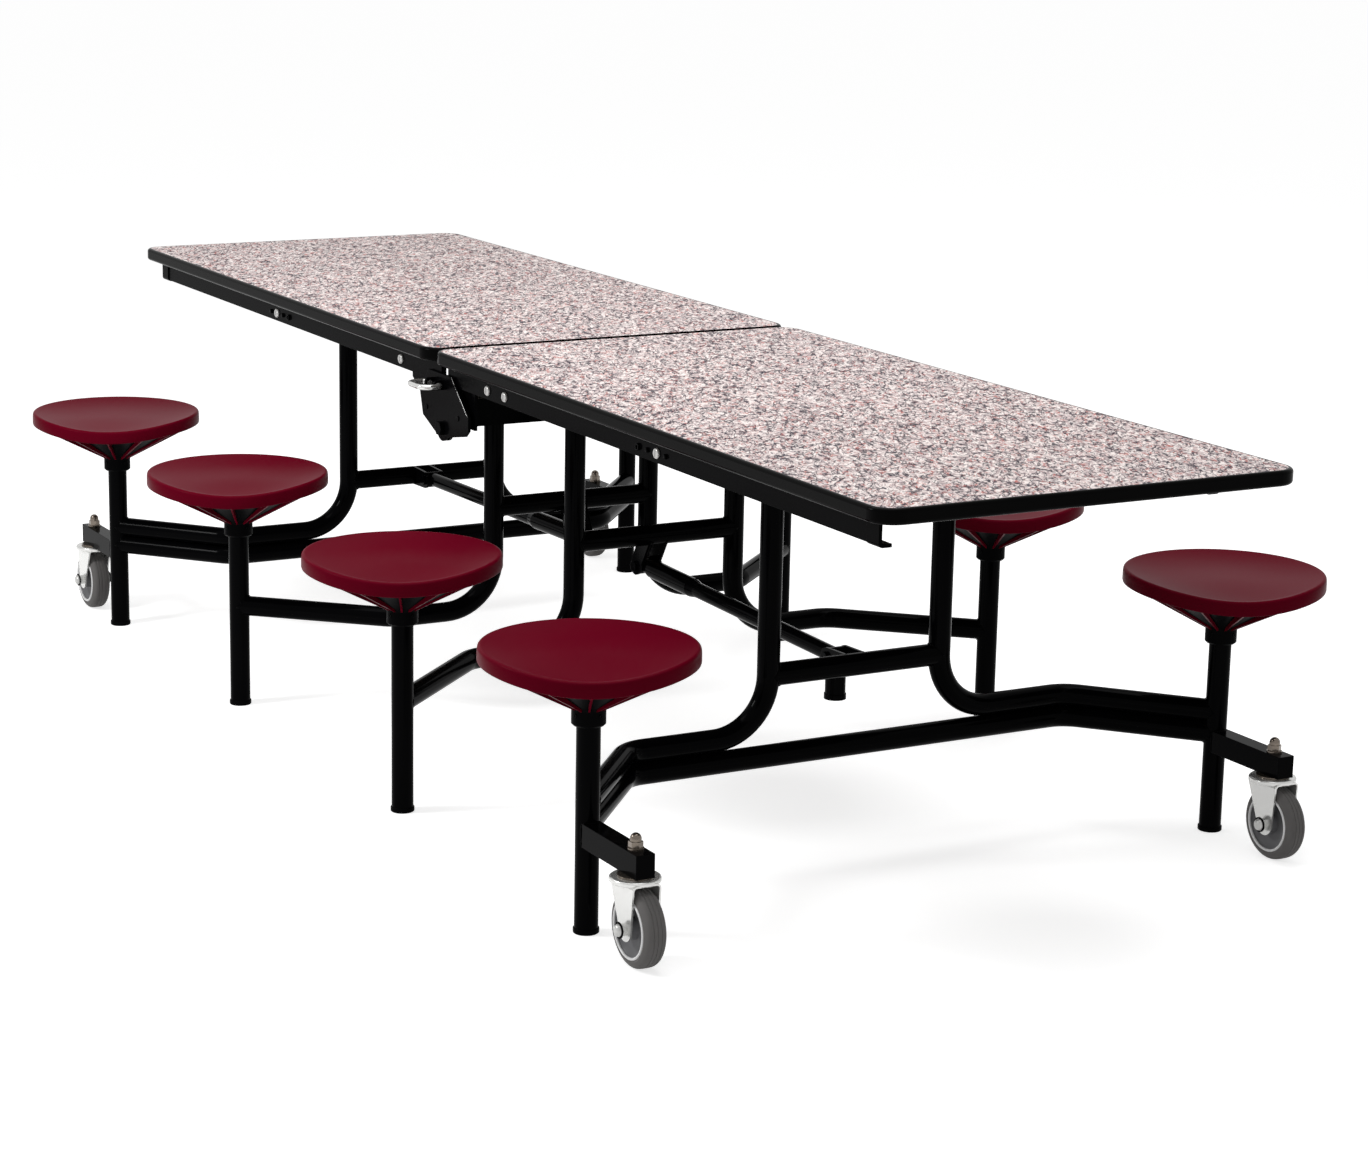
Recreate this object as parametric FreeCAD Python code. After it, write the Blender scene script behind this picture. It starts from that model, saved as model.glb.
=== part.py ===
"""Mobile folding cafeteria table with eight fixed stools.

Sizes are in millimetres. +X runs along the table to its near end, +Y runs across it, +Z is up, and the
origin is on the floor under the middle of the table. The two tops meet at x = 0 and fold upwards there,
while every stool frame hangs level from its own pivot rod. The far half is the near half turned half
way round the Z axis, apart from the rails and the pieces of the middle hinge.
"""
import FreeCAD, Part
import math
import os

V = FreeCAD.Vector
os.makedirs("parts", exist_ok=True)

# Tops
table_length = 3073.0
table_width = 762.0
table_height = 737.0
board_thickness = 25.0
joint_gap = 3.0
corner_radius = 42.0
edge_width = 8.0
edge_round = 6.0

# Side rails, which are C channels open to the inside
rail_setback = 31.0
rail_depth = 40.0
rail_top_flange = 36.0
rail_low_flange = 20.0
rail_wall = 3.0
front_rail_end_setback = 50.0
back_rail_end_setback = 165.0
rail_joint_setback = 14.0
rail_bracket_length = 34.0
rail_bracket_wall = 2.5
rail_bracket_round = 7.0

# Frame tubes
tube_diameter = 38.1
tube_wall = 2.1
stack_gap = 0.2
leg_spacing_y = 336.0
leg_top_drop = 22.0
leg_gusset_reach = 30.0
leg_gusset_height = 38.0
leg_gusset_rim = 5.0
leg_bend_radius = 100.0
arm_bend_radius = 62.0

# Outer frames, at the two ends
outer_leg_x = 876.0
outer_arm_z = 213.0
outer_cross_z = 313.0
outer_bend_y = 430.0
outer_stool_x = 1080.0

# Inner frames, beside the middle hinge
inner_leg_x = 170.0
inner_arm_z = 196.0
inner_cross_z = 393.0
inner_bend_y = 375.0
inner_stool_x = 384.0
stool_y = 606.0

# Pivots of the fold
outer_pivot_offset = 36.0
outer_pivot_drop = 28.0
inner_pivot_offset = 58.0
inner_pivot_drop = 14.0
pivot_rod_diameter = 12.0
running_clearance = 0.05
pivot_plate_thickness = 8.0
pivot_plate_radius = 12.0
hinge_drop = 122.0

# Middle hinge plates, bolts and beam
hinge_plate_thickness = 5.0
hinge_plate_gap = 0.3
hinge_plate_far_reach = 99.0
hinge_plate_near_reach = 112.0
hinge_plate_top_reach = 42.0
hinge_plate_top = 100.0
hinge_plate_shoulder = 58.0
hinge_plate_clip = 38.0
hinge_plate_elbow = 38.0
hinge_plate_foot = 12.0
hinge_plate_foot_inset = 14.0
hinge_nose_radius = 24.0
far_plate_half_width = 150.0
far_plate_shoulder = 72.0
far_plate_joint_gap = 10.0
hinge_bolt_diameter = 16.0
hinge_bolt_head_diameter = 27.0
hinge_bolt_head_height = 9.0
hinge_spacer_diameter = 40.0
hinge_dimple_diameter = 10.0
hinge_dimple_height = 1.5
hinge_dimple_x = 68.0
hinge_dimple_z = 29.0
beam_size = 50.0
beam_wall = 3.0
beam_x = 20.0
beam_above_hinge = 12.0
beam_plate_length = 90.0
beam_plate_thickness = 5.0
layer_gap = 1.0
torsion_bar_diameter = 12.0
torsion_bar_spacing = 20.0

# Links that keep the inner frames level
link_setback = 96.0
link_pin_below_cross = 66.0
link_diameter = 28.0
link_wall = 2.0
link_eye_diameter = 32.0
link_eye_length = 30.0
link_sleeve_diameter = 35.0
link_sleeve_start = 34.0
link_sleeve_length = 150.0
link_sleeve_taper = 22.0
link_pin_diameter = 12.0
link_pin_head_diameter = 20.0
link_pin_head_height = 5.0
open_pivot_clearance = 0.4
cheek_thickness = 5.0
cheek_gap = 0.4
cheek_radius = 17.0
bumper_height = 52.0
bumper_plate_thickness = 5.0
bumper_plate_margin = 4.0
bumper_cap_height = 9.0
bumper_cap_wall = 1.5

# Stools
seat_diameter = 343.0
seat_rim_z = 460.0
seat_dish_depth = 12.0
seat_lip_height = 25.0
seat_wall = 5.0
seat_near_dip = 15.0
seat_dip_angle = -27.0
seat_dip_power = 8
seat_hub_diameter = 56.0
seat_rib_count = 14
seat_rib_thickness = 3.0
seat_rib_rise = 3.0
seat_rib_foot_height = 8.0
seat_rib_sink_share = 0.7
seat_floor_diameter = 60.0
seat_ring_points = 24
seat_top_shares = [(0, 0, 0), (0.55, 0.08, 0.1), (0.82, 0.5, 0.5), (0.94, 0.94, 0.88), (0.97, 1, 1)]
socket_diameter = 54.0
socket_height = 33.0
socket_top_z = 367.0
socket_roof = 12.0
socket_clearance = 0.1
socket_bevel = 3.0
foot_cap_diameter = 41.5
foot_cap_height = 9.0
foot_cap_floor = 3.0
foot_cap_bevel = 1.2

# Caster mounts and casters
caster_arm_width = 32.0
caster_arm_height = 38.0
caster_arm_wall = 2.5
caster_arm_floor_z = 143.0
caster_arm_length = 190.0
caster_reach = 158.0
caster_stem_diameter = 12.0
caster_nut_across = 23.0
caster_nut_height = 10.0
caster_dome_diameter = 18.0
caster_dome_rise = 4.0
caster_washer_diameter = 26.0
caster_washer_height = 3.0
race_plate_diameter = 56.0
race_plate_height = 2.5
race_gap = 0.4
race_diameter = 80.0
race_height = 9.0
race_round = 3.5
fork_width = 49.0
fork_plate_thickness = 3.0
fork_bend_radius = 8.0
fork_inner_reach = 36.0
fork_outer_reach = 38.5
fork_end_radius = 19.0
wheel_diameter = 125.0
wheel_width = 38.0
wheel_round = 11.0
wheel_hub_diameter = 32.0
wheel_hub_length = 42.0
wheel_rim_diameter = 96.0
wheel_rim_bead = 2.5
wheel_bead_height = 1.2
wheel_web_recess = 8.0
axle_diameter = 9.5
axle_head_diameter = 19.0
axle_head_height = 6.0
caster_trail = 14.0

# Latch handle at the front of the joint
latch_rod_diameter = 10.0
latch_half_span = 18.0
latch_centre_x = -17.0
latch_drop = 42.0
latch_reach = 38.0
latch_wing = 16.0
latch_bend_radius = 8.0
latch_bow_radius = 21.0
latch_lug_thickness = 6.0
latch_lug_radius = 9.0
latch_lug_standoff = 10.0

# Rivets and bolts on the outer faces of the rails
rivet_diameter = 18.0
rivet_height = 4.0
rivet_drop = 24.0
small_rivet_diameter = 9.0
near_rivet_places = [182.0, 252.0, 814.0]
far_rivet_places = [195.0, 814.0]
small_rivet_places = [751.0, 782.0, 844.0]

# Places worked out from the sizes above
overrun = 20.0
tube_radius = tube_diameter / 2
leg_y = leg_spacing_y / 2
board_floor_z = table_height - board_thickness
leg_top_z = board_floor_z - leg_top_drop
hinge_z = board_floor_z - hinge_drop
latch_z = board_floor_z - latch_drop
outer_pivot_z = board_floor_z - outer_pivot_drop
inner_pivot_z = board_floor_z - inner_pivot_drop
link_drop = inner_pivot_z - (inner_cross_z - link_pin_below_cross)
rail_face_y = table_width / 2 - rail_setback
rail_floor_z = board_floor_z - rail_depth
half_length = table_length / 2
outer_pivot_x = outer_leg_x + outer_pivot_offset
inner_pivot_x = inner_leg_x + inner_pivot_offset
lower_tube_z = outer_arm_z - tube_diameter - stack_gap
post_top_z = socket_top_z - socket_roof
wheel_radius = wheel_diameter / 2


def cylinder(diameter, length, start, axis):
    """A round bar of the given length from a start point along an axis."""
    return Part.makeCylinder(diameter / 2, length, start, axis)


def box(low, high):
    """A box between two corners."""
    return Part.makeBox(high.x - low.x, high.y - low.y, high.z - low.z, low)


def ring(outer, inner, length, start, axis):
    """A round sleeve."""
    return cylinder(outer, length, start, axis).cut(cylinder(inner, length, start, axis))


def mirrored_y(shape):
    """The same piece on the other side of the table."""
    return shape.mirror(V(0, 0, 0), V(0, 1, 0))


def mirrored_x(shape):
    """The same piece on the other half."""
    return shape.mirror(V(0, 0, 0), V(1, 0, 0))


def turned(shape):
    """The far half's copy of a near piece: half a turn round the Z axis."""
    copy = shape.copy()
    copy.rotate(V(0, 0, 0), V(0, 0, 1), 180)
    return copy


def moved(shape, place):
    """A copy of a shape at another place."""
    copy = shape.copy()
    copy.translate(place)
    return copy


def rounded_path(points, radii):
    """Straight runs joined by tangent arcs, one radius for each inner point."""
    edges = []
    start = points[0]
    for before, corner, after, radius in zip(points, points[1:], points[2:], radii):
        back = (before - corner).normalize()
        ahead = (after - corner).normalize()
        half_angle = back.getAngle(ahead) / 2
        tangent = radius / math.tan(half_angle)
        enter = corner + back * tangent
        leave = corner + ahead * tangent
        bisector = (back + ahead).normalize()
        middle = corner + bisector * (radius / math.sin(half_angle) - radius)
        edges.append(Part.makeLine(start, enter))
        edges.append(Part.Arc(enter, middle, leave).toShape())
        start = leave
    edges.append(Part.makeLine(start, points[-1]))
    return Part.Wire(edges)


def swept_bar(path, diameter):
    """A round bar along a path."""
    first = path.OrderedEdges[0]
    start = first.valueAt(first.FirstParameter)
    heading = first.tangentAt(first.FirstParameter)
    section = Part.Wire([Part.makeCircle(diameter / 2, start, heading)])
    return path.makePipeShell([section], True, False)


def swept_tube(path, diameter, wall):
    """A round tube along a path."""
    return swept_bar(path, diameter).cut(swept_bar(path, diameter - 2 * wall))


def plate_xz(outline, low_y, thickness):
    """A flat plate that stands along the table, from (x, z) points."""
    corners = [V(x, low_y, z) for x, z in outline]
    face = Part.Face(Part.makePolygon(corners + corners[:1]))
    return face.extrude(V(0, thickness, 0))


def strap_xz(start, start_radius, end, end_radius, low_y, thickness):
    """A plate with two round ends and straight sides tangent to both."""
    run = V(end[0] - start[0], 0, end[1] - start[1])
    tilt = math.asin((start_radius - end_radius) / run.Length)
    heading = math.atan2(run.z, run.x)
    sides = []
    for turn in (1, -1):
        angle = heading + turn * (math.pi / 2 - tilt)
        away = V(math.cos(angle), 0, math.sin(angle))
        sides.append((V(start[0], 0, start[1]) + away * start_radius, V(end[0], 0, end[1]) + away * end_radius))
    outline = [sides[0][0], sides[0][1], sides[1][1], sides[1][0]]
    body = plate_xz([(p.x, p.z) for p in outline], low_y, thickness)
    for (x, z), radius in ((start, start_radius), (end, end_radius)):
        body = body.fuse(Part.makeCylinder(radius, thickness, V(x, low_y, z), V(0, 1, 0)))
    return body.removeSplitter()


def rounded_rectangle(low_x, high_x, half_y, radius, z):
    """A closed outline with round corners, level at height z."""
    corners = [V(low_x, -half_y, z), V(high_x, -half_y, z), V(high_x, half_y, z), V(low_x, half_y, z)]
    middle = (corners[0] + corners[1]) / 2
    path = rounded_path([middle] + corners[1:] + [corners[0], middle], [radius] * len(corners))
    return path


def write(node, solids):
    """Write one sub-part, which may be a group of separate solids."""
    shape = solids[0] if len(solids) == 1 else Part.makeCompound(solids)
    bad = [s for s in solids if not s.isValid() or s.Volume <= 0]
    if bad:
        raise ValueError("bad solid in " + node)
    shape.exportStep("parts/" + node + ".step")


def single(shape):
    """The one solid of a boolean result."""
    if len(shape.Solids) != 1:
        raise ValueError("expected one solid, found %d" % len(shape.Solids))
    return shape.Solids[0]


def near_far(node, solids):
    """Write the near half's piece and the far half's turned copy."""
    write("near_" + node, solids)
    write("far_" + node, [turned(s) for s in solids])


# Tops: a laminated board held in a soft black edge moulding
def top_board():
    """The board inside its edge moulding."""
    low_x = joint_gap / 2 + edge_width
    outline = rounded_rectangle(low_x, half_length - edge_width, table_width / 2 - edge_width,
                                corner_radius - edge_width, board_floor_z)
    return Part.Face(outline).extrude(V(0, 0, board_thickness))


def top_edge():
    """The moulding, with its outer edges rounded over."""
    outline = rounded_rectangle(joint_gap / 2, half_length, table_width / 2, corner_radius, board_floor_z)
    body = Part.Face(outline).extrude(V(0, 0, board_thickness))
    level = [e for e in body.Edges if abs(e.BoundBox.ZLength) < running_clearance]
    body = body.makeFillet(edge_round, level)
    return single(body.cut(top_board()))


def channel(face_y, lip_top_y, lip_low_y, floor_z, top_z, wall, low_x, high_x):
    """A C channel along the table, open towards +Y, between two places."""
    inner_y = face_y + wall
    points = [(face_y, floor_z), (lip_low_y, floor_z), (lip_low_y, floor_z + wall), (inner_y, floor_z + wall),
              (inner_y, top_z - wall), (lip_top_y, top_z - wall), (lip_top_y, top_z), (face_y, top_z)]
    corners = [V(low_x, y, z) for y, z in points]
    return Part.Face(Part.makePolygon(corners + corners[:1])).extrude(V(high_x - low_x, 0, 0))


def side_rail(end_setback):
    """The C channel under the front side (-Y) of the near top, with the folded bracket at its outer end."""
    face_y = -rail_face_y
    top_z = board_floor_z
    end_x = half_length - end_setback
    lip_top_y = face_y + rail_top_flange
    lip_low_y = face_y + rail_low_flange
    body = channel(face_y, lip_top_y, lip_low_y, rail_floor_z, top_z, rail_wall, rail_joint_setback, end_x)
    wall = rail_bracket_wall
    low_x = end_x - rail_bracket_length
    bracket = box(V(low_x, face_y - wall, rail_floor_z - wall), V(end_x, lip_low_y, top_z))
    fold = [e for e in bracket.Edges if e.BoundBox.YMax < face_y and e.BoundBox.ZMax < rail_floor_z
            and e.BoundBox.XLength > wall]
    bracket = bracket.makeFillet(rail_bracket_round, fold)
    hollow = box(V(low_x, face_y + rail_wall, rail_floor_z + rail_wall), V(end_x, lip_low_y, top_z))
    return single(body.fuse(bracket.cut(hollow)).removeSplitter())


def pivot_rod(x, z):
    """A rod from one rail's web to the other, on which a frame hangs."""
    inner_y = rail_face_y - rail_wall
    return cylinder(pivot_rod_diameter, 2 * inner_y, V(x, -inner_y, z), V(0, 1, 0))


def near_hinge_plate():
    """The shield-shaped plate over the outer face of the near front rail, with a rounded nose at the bolt."""
    low_y = hinge_plate_y()
    far = -hinge_plate_far_reach
    near = hinge_plate_near_reach
    inset = hinge_plate_foot_inset
    nose = hinge_nose_radius
    offsets = [(far + hinge_plate_clip, hinge_plate_top), (hinge_plate_top_reach, hinge_plate_top),
               (near, hinge_plate_elbow),
               (near, hinge_plate_foot), (near - inset, 0), (nose, -inset), (-nose, -inset),
               (far + inset, hinge_plate_foot), (far, hinge_plate_shoulder)]
    body = plate_xz([(x, hinge_z + rise) for x, rise in offsets], low_y, hinge_plate_thickness)
    body = body.fuse(cylinder(2 * nose, hinge_plate_thickness, V(0, low_y, hinge_z), V(0, 1, 0)))
    for x in (-hinge_dimple_x, hinge_dimple_x):
        start = V(x, low_y - hinge_dimple_height, hinge_z + hinge_dimple_z)
        body = body.fuse(cylinder(hinge_dimple_diameter, hinge_dimple_height, start, V(0, 1, 0)))
    hole = cylinder(hinge_bolt_diameter, hinge_plate_thickness, V(0, low_y, hinge_z), V(0, 1, 0))
    return single(body.cut(hole).removeSplitter())


def hinge_plate_y():
    """The outer face of the near front hinge plate."""
    return -rail_face_y - hinge_plate_gap - hinge_plate_thickness


def far_hinge_plate():
    """The narrower plate inside the web of the far front rail."""
    low_y = -rail_face_y + rail_wall
    top = board_floor_z - rail_wall
    shoulder = hinge_z + far_plate_shoulder
    half = far_plate_half_width
    nose = hinge_nose_radius
    joint_x = -far_plate_joint_gap
    outline = [(-half, top), (joint_x, top), (joint_x, shoulder), (nose, hinge_z), (-nose, hinge_z),
               (-half, shoulder)]
    body = plate_xz(outline, low_y, hinge_plate_thickness)
    body = body.fuse(cylinder(2 * nose, hinge_plate_thickness, V(0, low_y, hinge_z), V(0, 1, 0)))
    bore = hinge_bolt_diameter + 2 * running_clearance
    hole = cylinder(bore, hinge_plate_thickness, V(0, low_y, hinge_z), V(0, 1, 0))
    return single(body.cut(hole).removeSplitter())


def far_rail(rail):
    """A far rail, with its lower flange cut away where the hinge plate hangs through."""
    low = V(-far_plate_half_width, rail_wall - rail_face_y, rail_floor_z)
    high = V(0, rail_low_flange - rail_face_y, rail_floor_z + rail_wall)
    notch = box(low, high)
    return single(mirrored_x(rail).cut([notch, mirrored_y(notch)]))


def hinge_bolt():
    """The bolt through both hinge plates at the front: head outside, spacer between, nut inside."""
    head_y = hinge_plate_y()
    far_plate_y = -rail_face_y + rail_wall
    nut_y = far_plate_y + hinge_plate_thickness + hinge_plate_gap
    shank = cylinder(hinge_bolt_diameter, nut_y - head_y, V(0, head_y, hinge_z), V(0, 1, 0))
    head = hexagon(hinge_bolt_head_diameter, hinge_bolt_head_height, V(0, head_y - hinge_bolt_head_height, hinge_z))
    nut = cylinder(hinge_bolt_head_diameter, beam_plate_thickness, V(0, nut_y, hinge_z), V(0, 1, 0))
    spacer_y = head_y + hinge_plate_thickness
    spacer_length = far_plate_y - hinge_plate_gap - spacer_y
    spacer = cylinder(hinge_spacer_diameter, spacer_length, V(0, spacer_y, hinge_z), V(0, 1, 0))
    return single(shank.fuse([head, nut, spacer]).removeSplitter())


def hexagon(across, height, start):
    """A hexagon head that stands along +Y from its start."""
    radius = across / 2
    corners = [V(start.x + radius * math.cos(math.radians(a)), start.y, start.z + radius * math.sin(math.radians(a)))
               for a in range(0, 360, 60)]
    return Part.Face(Part.makePolygon(corners + corners[:1])).extrude(V(0, height, 0))


def hinge_beam():
    """The box beam across the joint, with the end plates that carry it from the near rails."""
    end_y = rail_face_y - rail_wall - hinge_plate_thickness - layer_gap
    low = V(beam_x, -end_y, hinge_z + beam_above_hinge)
    high = V(beam_x + beam_size, end_y, low.z + beam_size)
    inset = V(beam_wall, beam_plate_thickness, beam_wall)
    body = box(low, high)
    for side in (-1, 1):
        edge_y = side * end_y
        plate_low = V(beam_x, min(edge_y, edge_y - side * beam_plate_thickness), low.z)
        plate_high = V(beam_x + beam_plate_length, plate_low.y + beam_plate_thickness, rail_floor_z)
        body = body.fuse(box(plate_low, plate_high))
    return single(body.cut(box(low + inset, high - inset)).removeSplitter())


def torsion_bars():
    """Two spring bars that run the length of the beam, fixed in its end plates."""
    end_y = rail_face_y - rail_wall - hinge_plate_thickness - layer_gap - beam_plate_thickness
    middle_x = beam_x + beam_size / 2
    z = hinge_z + beam_above_hinge + beam_size / 2
    places = [middle_x - torsion_bar_spacing / 2, middle_x + torsion_bar_spacing / 2]
    return [cylinder(torsion_bar_diameter, 2 * end_y, V(x, -end_y, z), V(0, 1, 0)) for x in places]


# Stool frames
def leg_path(leg_x, arm_z, bend_y, stool_x):
    """A leg's line: down, out along the floor, and slanting to its stool post."""
    return rounded_path([V(leg_x, leg_y, leg_top_z), V(leg_x, leg_y, arm_z), V(leg_x, bend_y, arm_z),
                         V(stool_x, stool_y, arm_z)], [leg_bend_radius, arm_bend_radius])


def post_bar(stool_x):
    """The outside of the stool post at +Y, used to cut what meets it."""
    return cylinder(tube_diameter, socket_top_z, V(stool_x, stool_y, 0), V(0, 0, 1))


def leg(leg_x, arm_z, bend_y, stool_x, pivot_x, pivot_z, extra):
    """One bent leg with the plate at its top that turns on the pivot rod, and its extra plates."""
    path = leg_path(leg_x, arm_z, bend_y, stool_x)
    tube = swept_tube(path, tube_diameter, tube_wall).cut(post_bar(stool_x))
    low_y = leg_y - pivot_plate_thickness / 2
    inner = cylinder(tube_diameter - 2 * tube_wall, leg_top_z, V(leg_x, leg_y, 0), V(0, 0, 1))
    start_z = min(pivot_z, leg_top_z - pivot_plate_radius)
    plate = strap_xz((leg_x, start_z), pivot_plate_radius, (pivot_x, pivot_z), pivot_plate_radius,
                     low_y, pivot_plate_thickness).cut(inner)
    bore = pivot_rod_diameter + 2 * running_clearance
    hole = cylinder(bore, pivot_plate_thickness, V(pivot_x, low_y, pivot_z), V(0, 1, 0))
    far_side = box(V(leg_x - tube_diameter, leg_y - tube_radius, 0), V(leg_x, leg_y + tube_radius, table_height))
    return single(tube.fuse([plate.cut(far_side)] + extra).cut(hole).removeSplitter())


def leg_gusset():
    """The small curved plate behind the top of an inner leg."""
    low_y = leg_y - pivot_plate_thickness / 2
    side_x = inner_leg_x - tube_radius
    wall_x = inner_leg_x - tube_radius + tube_wall / 2
    low = V(side_x - leg_gusset_reach, low_y, leg_top_z - leg_gusset_height)
    block = box(low, V(wall_x, low_y + pivot_plate_thickness, leg_top_z))
    reach = leg_gusset_reach - leg_gusset_rim
    rise = leg_gusset_height - leg_gusset_rim
    hollow = Part.makeCylinder(reach, pivot_plate_thickness, V(0, low_y, 0), V(0, 1, 0))
    stretch = FreeCAD.Matrix()
    stretch.scale(1, 1, rise / reach)
    return block.cut(moved(hollow.transformGeometry(stretch), V(low.x, 0, low.z)))


def cross_tube(leg_x, cross_z, arm_z, bend_y, stool_x):
    """The tube between the two legs, coped to their round sides."""
    tube = ring(tube_diameter, tube_diameter - 2 * tube_wall, 2 * leg_y, V(leg_x, -leg_y, cross_z), V(0, 1, 0))
    leg_bar = swept_bar(leg_path(leg_x, arm_z, bend_y, stool_x), tube_diameter)
    pieces = tube.cut([leg_bar, mirrored_y(leg_bar)]).Solids
    return max(pieces, key=lambda s: s.Volume)


def lower_path():
    """The line of the outer frame's second tube, right under its arms."""
    points = [V(outer_stool_x, -stool_y, lower_tube_z), V(outer_leg_x, -outer_bend_y, lower_tube_z),
              V(outer_leg_x, outer_bend_y, lower_tube_z), V(outer_stool_x, stool_y, lower_tube_z)]
    return rounded_path(points, [arm_bend_radius, arm_bend_radius])


def lower_tube():
    """The outer frame's second tube, from post to post."""
    tube = swept_tube(lower_path(), tube_diameter, tube_wall)
    post = post_bar(outer_stool_x)
    return max(tube.cut([post, mirrored_y(post)]).Solids, key=lambda s: s.Volume)


def stool_post(stool_x):
    """The upright tube of one stool, from its foot cap up into its socket."""
    start = V(stool_x, stool_y, foot_cap_floor)
    return ring(tube_diameter, tube_diameter - 2 * tube_wall, post_top_z - foot_cap_floor, start, V(0, 0, 1))


def foot_cap(stool_x):
    """A push-on plastic cap with bevelled edges."""
    start = V(stool_x, stool_y, 0)
    body = cylinder(foot_cap_diameter, foot_cap_height, start, V(0, 0, 1))
    level = [e for e in body.Edges if abs(e.BoundBox.ZLength) < running_clearance]
    body = body.makeChamfer(foot_cap_bevel, level)
    bore = tube_diameter + 2 * socket_clearance
    return single(body.cut(cylinder(bore, foot_cap_height, start + V(0, 0, foot_cap_floor), V(0, 0, 1))))


def seat_socket(stool_x):
    """The black collar between a post and its seat."""
    start = V(stool_x, stool_y, socket_top_z - socket_height)
    body = cylinder(socket_diameter, socket_height, start, V(0, 0, 1))
    low = [e for e in body.Edges if e.BoundBox.ZMax < start.z + running_clearance]
    body = body.makeChamfer(socket_bevel, low)
    bore = tube_diameter + 2 * socket_clearance
    return single(body.cut(cylinder(bore, socket_height - socket_roof, start, V(0, 0, 1))))


def seat_ring(radius, z, dip_share):
    """A closed ring of the seat's surface, which sinks at its front by a share of the dip."""
    points = []
    for step in range(seat_ring_points):
        angle = 2 * math.pi * step / seat_ring_points
        toward = (1 + math.cos(angle - math.radians(seat_dip_angle))) / 2
        sink = seat_near_dip * dip_share * toward ** seat_dip_power
        points.append(V(radius * math.cos(angle), radius * math.sin(angle), z - sink))
    curve = Part.BSplineCurve()
    curve.interpolate(Points=points, PeriodicFlag=True)
    return Part.Wire([curve.toShape()])


def seat():
    """A moulded round seat: dished top, rolled lip with a low front, and ribs from the lip down to the hub."""
    radius = seat_diameter / 2
    floor_radius = seat_floor_diameter / 2
    dish_z = seat_rim_z - seat_dish_depth
    lip_z = seat_rim_z - seat_lip_height
    skin = seat_wall
    rings = []
    for reach_share, rise_share, dip_share in seat_top_shares:
        r = floor_radius + (radius - floor_radius) * reach_share
        rings.append(seat_ring(r, dish_z + seat_dish_depth * rise_share, dip_share))
    rings.append(seat_ring(radius, seat_rim_z - skin, 1))
    rings.append(seat_ring(radius, lip_z + skin / 2, 1))
    rings.append(seat_ring(radius - skin / 2, lip_z, 1))
    rings.append(seat_ring(radius - skin, lip_z, 1))
    for reach_share, rise_share, dip_share in reversed(seat_top_shares[:-1]):
        r = floor_radius + (radius - skin - floor_radius) * reach_share
        rings.append(seat_ring(r, dish_z - skin + seat_dish_depth * rise_share, dip_share))
    shell = Part.makeLoft(rings, True, True)
    if shell.Volume < 0:
        shell.reverse()
    hub_top = dish_z - skin * seat_rib_sink_share
    hub = cylinder(seat_hub_diameter, hub_top - socket_top_z, V(0, 0, socket_top_z), V(0, 0, 1))
    rib_floor = socket_top_z + seat_rib_foot_height
    rib_reach = radius - skin / 2
    rib_edge = lip_z + seat_rib_rise
    outline = [(0, rib_floor), (seat_hub_diameter / 2, rib_floor), (rib_reach, rib_edge), (rib_reach, hub_top),
               (0, hub_top)]
    rib = plate_xz(outline, -seat_rib_thickness / 2, seat_rib_thickness)
    ribs = []
    for step in range(seat_rib_count):
        copy = rib.copy()
        copy.rotate(V(0, 0, 0), V(0, 0, 1), 360 * step / seat_rib_count)
        ribs.append(copy)
    return single(shell.fuse([hub] + ribs).removeSplitter())


# Links and their brackets
def link_ends():
    """The pins at the outer and inner end of the near link, as (x, z)."""
    outer = (outer_pivot_x - link_setback, outer_pivot_z - link_drop)
    inner = (inner_pivot_x - link_setback, inner_pivot_z - link_drop)
    return outer, inner


def link():
    """The tube that ties the inner frame to the outer one, with an eye at each end."""
    outer, inner = link_ends()
    start = V(inner[0], 0, inner[1])
    run = V(outer[0], 0, outer[1]) - start
    heading = V(run).normalize()
    body = cylinder(link_diameter, run.Length, start, heading)
    hollow = cylinder(link_diameter - 2 * link_wall, run.Length, start, heading)
    sleeve = cylinder(link_sleeve_diameter, link_sleeve_length, start + heading * link_sleeve_start, heading)
    taper_start = start + heading * (link_sleeve_start + link_sleeve_length)
    taper = Part.makeCone(link_sleeve_diameter / 2, link_diameter / 2, link_sleeve_taper, taper_start, heading)
    eyes = [cylinder(link_eye_diameter, link_eye_length, V(x, -link_eye_length / 2, z), V(0, 1, 0))
            for x, z in (outer, inner)]
    body = body.fuse([sleeve, taper]).cut(hollow).fuse(eyes)
    bores = []
    for (x, z), clearance in ((outer, running_clearance), (inner, open_pivot_clearance)):
        bore = link_pin_diameter + 2 * clearance
        bores.append(cylinder(bore, link_eye_length, V(x, -link_eye_length / 2, z), V(0, 1, 0)))
    return single(body.cut(bores).removeSplitter())


def link_bracket(leg_x, cross_z, pin_place):
    """Two cheeks on a cross tube, with the pin that carries the link's eye."""
    x, z = pin_place
    low_y = link_eye_length / 2 + cheek_gap
    cheek = strap_xz((leg_x, cross_z), tube_radius, (x, z), cheek_radius, low_y, cheek_thickness)
    tube = cylinder(tube_diameter, table_width, V(leg_x, -table_width / 2, cross_z), V(0, 1, 0))
    cheek = cheek.cut(tube)
    half_pin = low_y + cheek_thickness
    pin = cylinder(link_pin_diameter, 2 * half_pin, V(x, -half_pin, z), V(0, 1, 0))
    head_span = 2 * (half_pin + link_pin_head_height)
    heads = cylinder(link_pin_head_diameter, head_span, V(x, -head_span / 2, z), V(0, 1, 0))
    heads = heads.cut(cylinder(link_pin_head_diameter + overrun, 2 * half_pin, V(x, -half_pin, z), V(0, 1, 0)))
    return cheek.fuse([mirrored_y(cheek), pin] + heads.Solids).removeSplitter()


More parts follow.
